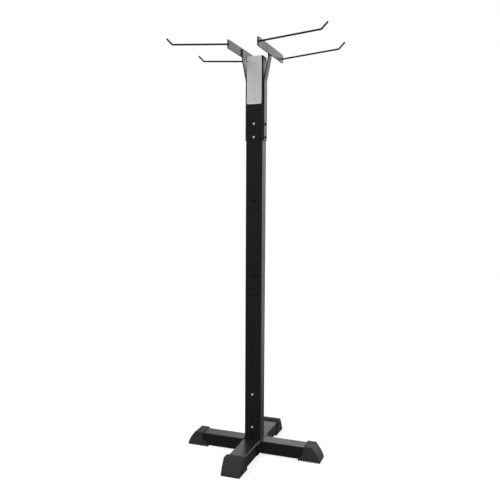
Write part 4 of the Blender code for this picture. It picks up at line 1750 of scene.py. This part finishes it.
@dataclass(frozen=True)
class Studio:
    """Pale floor, white surroundings, soft lamps and the camera."""

    camera_place: tuple[float, float, float] = (0.94965, -2.81435, 1.18968)
    camera_turn: float = 0.3842
    camera_down: float = 0.1003
    focal_share: float = 630.33 / 500
    shift: Span = (0.06302, 0.0364)
    sensor: float = 36.0
    clip: Span = (0.05, 60.0)
    floor_half: float = 9.0
    floor_lines: int = 9
    floor_albedo: float = 0.55
    floor_shadow: float = 0.22
    floor_span: Span = (-0.4, 3.0)
    floor_gloss: Span = (0.07, 0.8)
    plain_level: float = 0.8
    front_level: float = 0.14
    behind_span: Span = (-0.35, 0.45)
    height_span: Span = (-0.15, 0.3)
    back_levels: Span = (0.85, 1.6)
    left_span: Span = (-0.38, -0.25)
    left_share: float = 0.3
    overhead_span: Span = (0.5, 0.9)
    overhead_share: float = 0.35

    def build_camera(self) -> None:
        """Camera at the photograph's place and angle."""
        lens = bpy.data.cameras.new("photo_camera")
        lens.sensor_width, lens.lens = self.sensor, self.sensor * self.focal_share
        lens.shift_x, lens.shift_y = self.shift
        lens.clip_start, lens.clip_end = self.clip
        camera = placed("photo_camera", lens)
        camera.location = self.camera_place
        camera.rotation_euler = (math.pi / 2 - self.camera_down, 0.0, self.camera_turn)
        bpy.context.scene.camera = camera

    def build_floor(self) -> None:
        """Floor that shows white where it is lit, and keeps a light shadow under the rack."""
        made = bpy.data.materials.new("pale_floor")
        made.use_nodes = True
        made.node_tree.nodes.clear()
        wiring = Wiring(made.node_tree)
        path = wiring.add("ShaderNodeLightPath").outputs
        place = wiring.add("ShaderNodeTexCoord").outputs["Object"]
        back = wiring.add("ShaderNodeSeparateXYZ", {0: place}).outputs["Y"]
        lift = 1.0 - self.floor_shadow * self.plain_level
        gloss, lift = (
            wiring.out("ShaderNodeEmission", {"Color": grey(1.0), "Strength": strength})
            for strength in (wiring.spread(back, self.floor_span, self.floor_gloss), lift)
        )
        plain, shade = (
            wiring.out("ShaderNodeBsdfDiffuse", {"Color": grey(level)})
            for level in (self.floor_albedo, self.floor_shadow)
        )
        mixed = wiring.out("ShaderNodeMixShader", {0: path["Is Glossy Ray"], 1: plain, 2: gloss})
        seen = wiring.out("ShaderNodeAddShader", {0: shade, 1: lift})
        mixed = wiring.out("ShaderNodeMixShader", {0: path["Is Camera Ray"], 1: mixed, 2: seen})
        wiring.add("ShaderNodeOutputMaterial", {"Surface": mixed})
        lines = np.linspace(-self.floor_half, self.floor_half, self.floor_lines)
        sheet = Drilling().sheet(lines, lines, (), 0.0)[0]
        mesh = bpy.data.meshes.new("floor")
        mesh.from_pydata(sheet.points, [], sheet.quads.tolist())
        mesh.materials.append(made)
        placed("floor", mesh)

    def build_world(self) -> None:
        """White to the eye; in gloss, white behind the rack and dim before it; else plain."""
        world = bpy.data.worlds.new("studio")
        world.use_nodes = True
        wiring = Wiring(world.node_tree)
        sky = world.node_tree.nodes["Background"]
        path = wiring.add("ShaderNodeLightPath").outputs
        heading = wiring.add("ShaderNodeTexCoord").outputs["Generated"]
        parts = wiring.add("ShaderNodeSeparateXYZ", {0: heading}).outputs
        panel = wiring.product(
            wiring.spread(parts["Z"], self.height_span, self.back_levels),
            wiring.spread(parts["X"], self.left_span, (self.left_share, 1.0)),
            wiring.spread(parts["Z"], self.overhead_span, (1.0, self.overhead_share)),
        )
        behind = wiring.spread(parts["Y"], self.behind_span)
        gloss = wiring.product(behind, wiring.math("SUBTRACT", panel, self.front_level))
        gloss = wiring.math("ADD", gloss, self.front_level - self.plain_level)
        gloss = wiring.product(path["Is Glossy Ray"], gloss)
        eye = wiring.math("MAXIMUM", path["Is Camera Ray"], path["Is Transmission Ray"])
        eye = wiring.product(eye, 1.0 - self.plain_level)
        level = wiring.math("ADD", wiring.math("ADD", gloss, eye), self.plain_level)
        wiring.feed(sky.inputs["Color"], grey(1.0))
        wiring.feed(sky.inputs["Strength"], level)
        bpy.context.scene.world = world

    def lamp(
        self, name: str, place: Sequence[float], aim: Sequence[float], size: Span, power: float
    ) -> None:
        """Soft lamp that neither the camera nor a reflection shows.

        Args:
            name: The lamp's name.
            place: Where it is.
            aim: The point that it faces.
            size: Its width and height.
            power: Its power in watts.
        """
        light = bpy.data.lights.new(name, "AREA")
        light.shape, light.energy = "RECTANGLE", power
        light.size, light.size_y = size
        lamp = placed(name, light)
        lamp.visible_camera = lamp.visible_glossy = False
        lamp.location = place
        heading = np.asarray(aim, float) - np.asarray(place, float)
        yaw = math.atan2(-heading[0], heading[1])
        lamp.rotation_euler = (math.acos(-heading[2] / np.linalg.norm(heading)), 0.0, yaw)

    def build(self) -> None:
        """Build the stage, and keep Blender's plain view of colour."""
        self.build_camera()
        self.build_floor()
        self.build_world()
        self.lamp("soft_key", place=(-2.2, -2.2, 5.0), aim=(0, 0, 1), size=(2.4, 2.4), power=200)
        self.lamp("soft_back", place=(0, 3.6, 2.4), aim=(0, 0, 2.4), size=(5.0, 2.4), power=22)
        bpy.context.scene.view_settings.view_transform = "Standard"


def main() -> None:
    """Build the rack and its stage."""
    logging.basicConfig(level=logging.INFO, format="%(name)s: %(message)s")
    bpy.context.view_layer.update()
    shop = Workshop.open()
    fasteners = Fasteners(shop)
    Base(shop).build(fasteners)
    Post(shop).build(fasteners)
    Head(shop).build(fasteners)
    Studio().build()


if __name__ == "__main__":
    main()
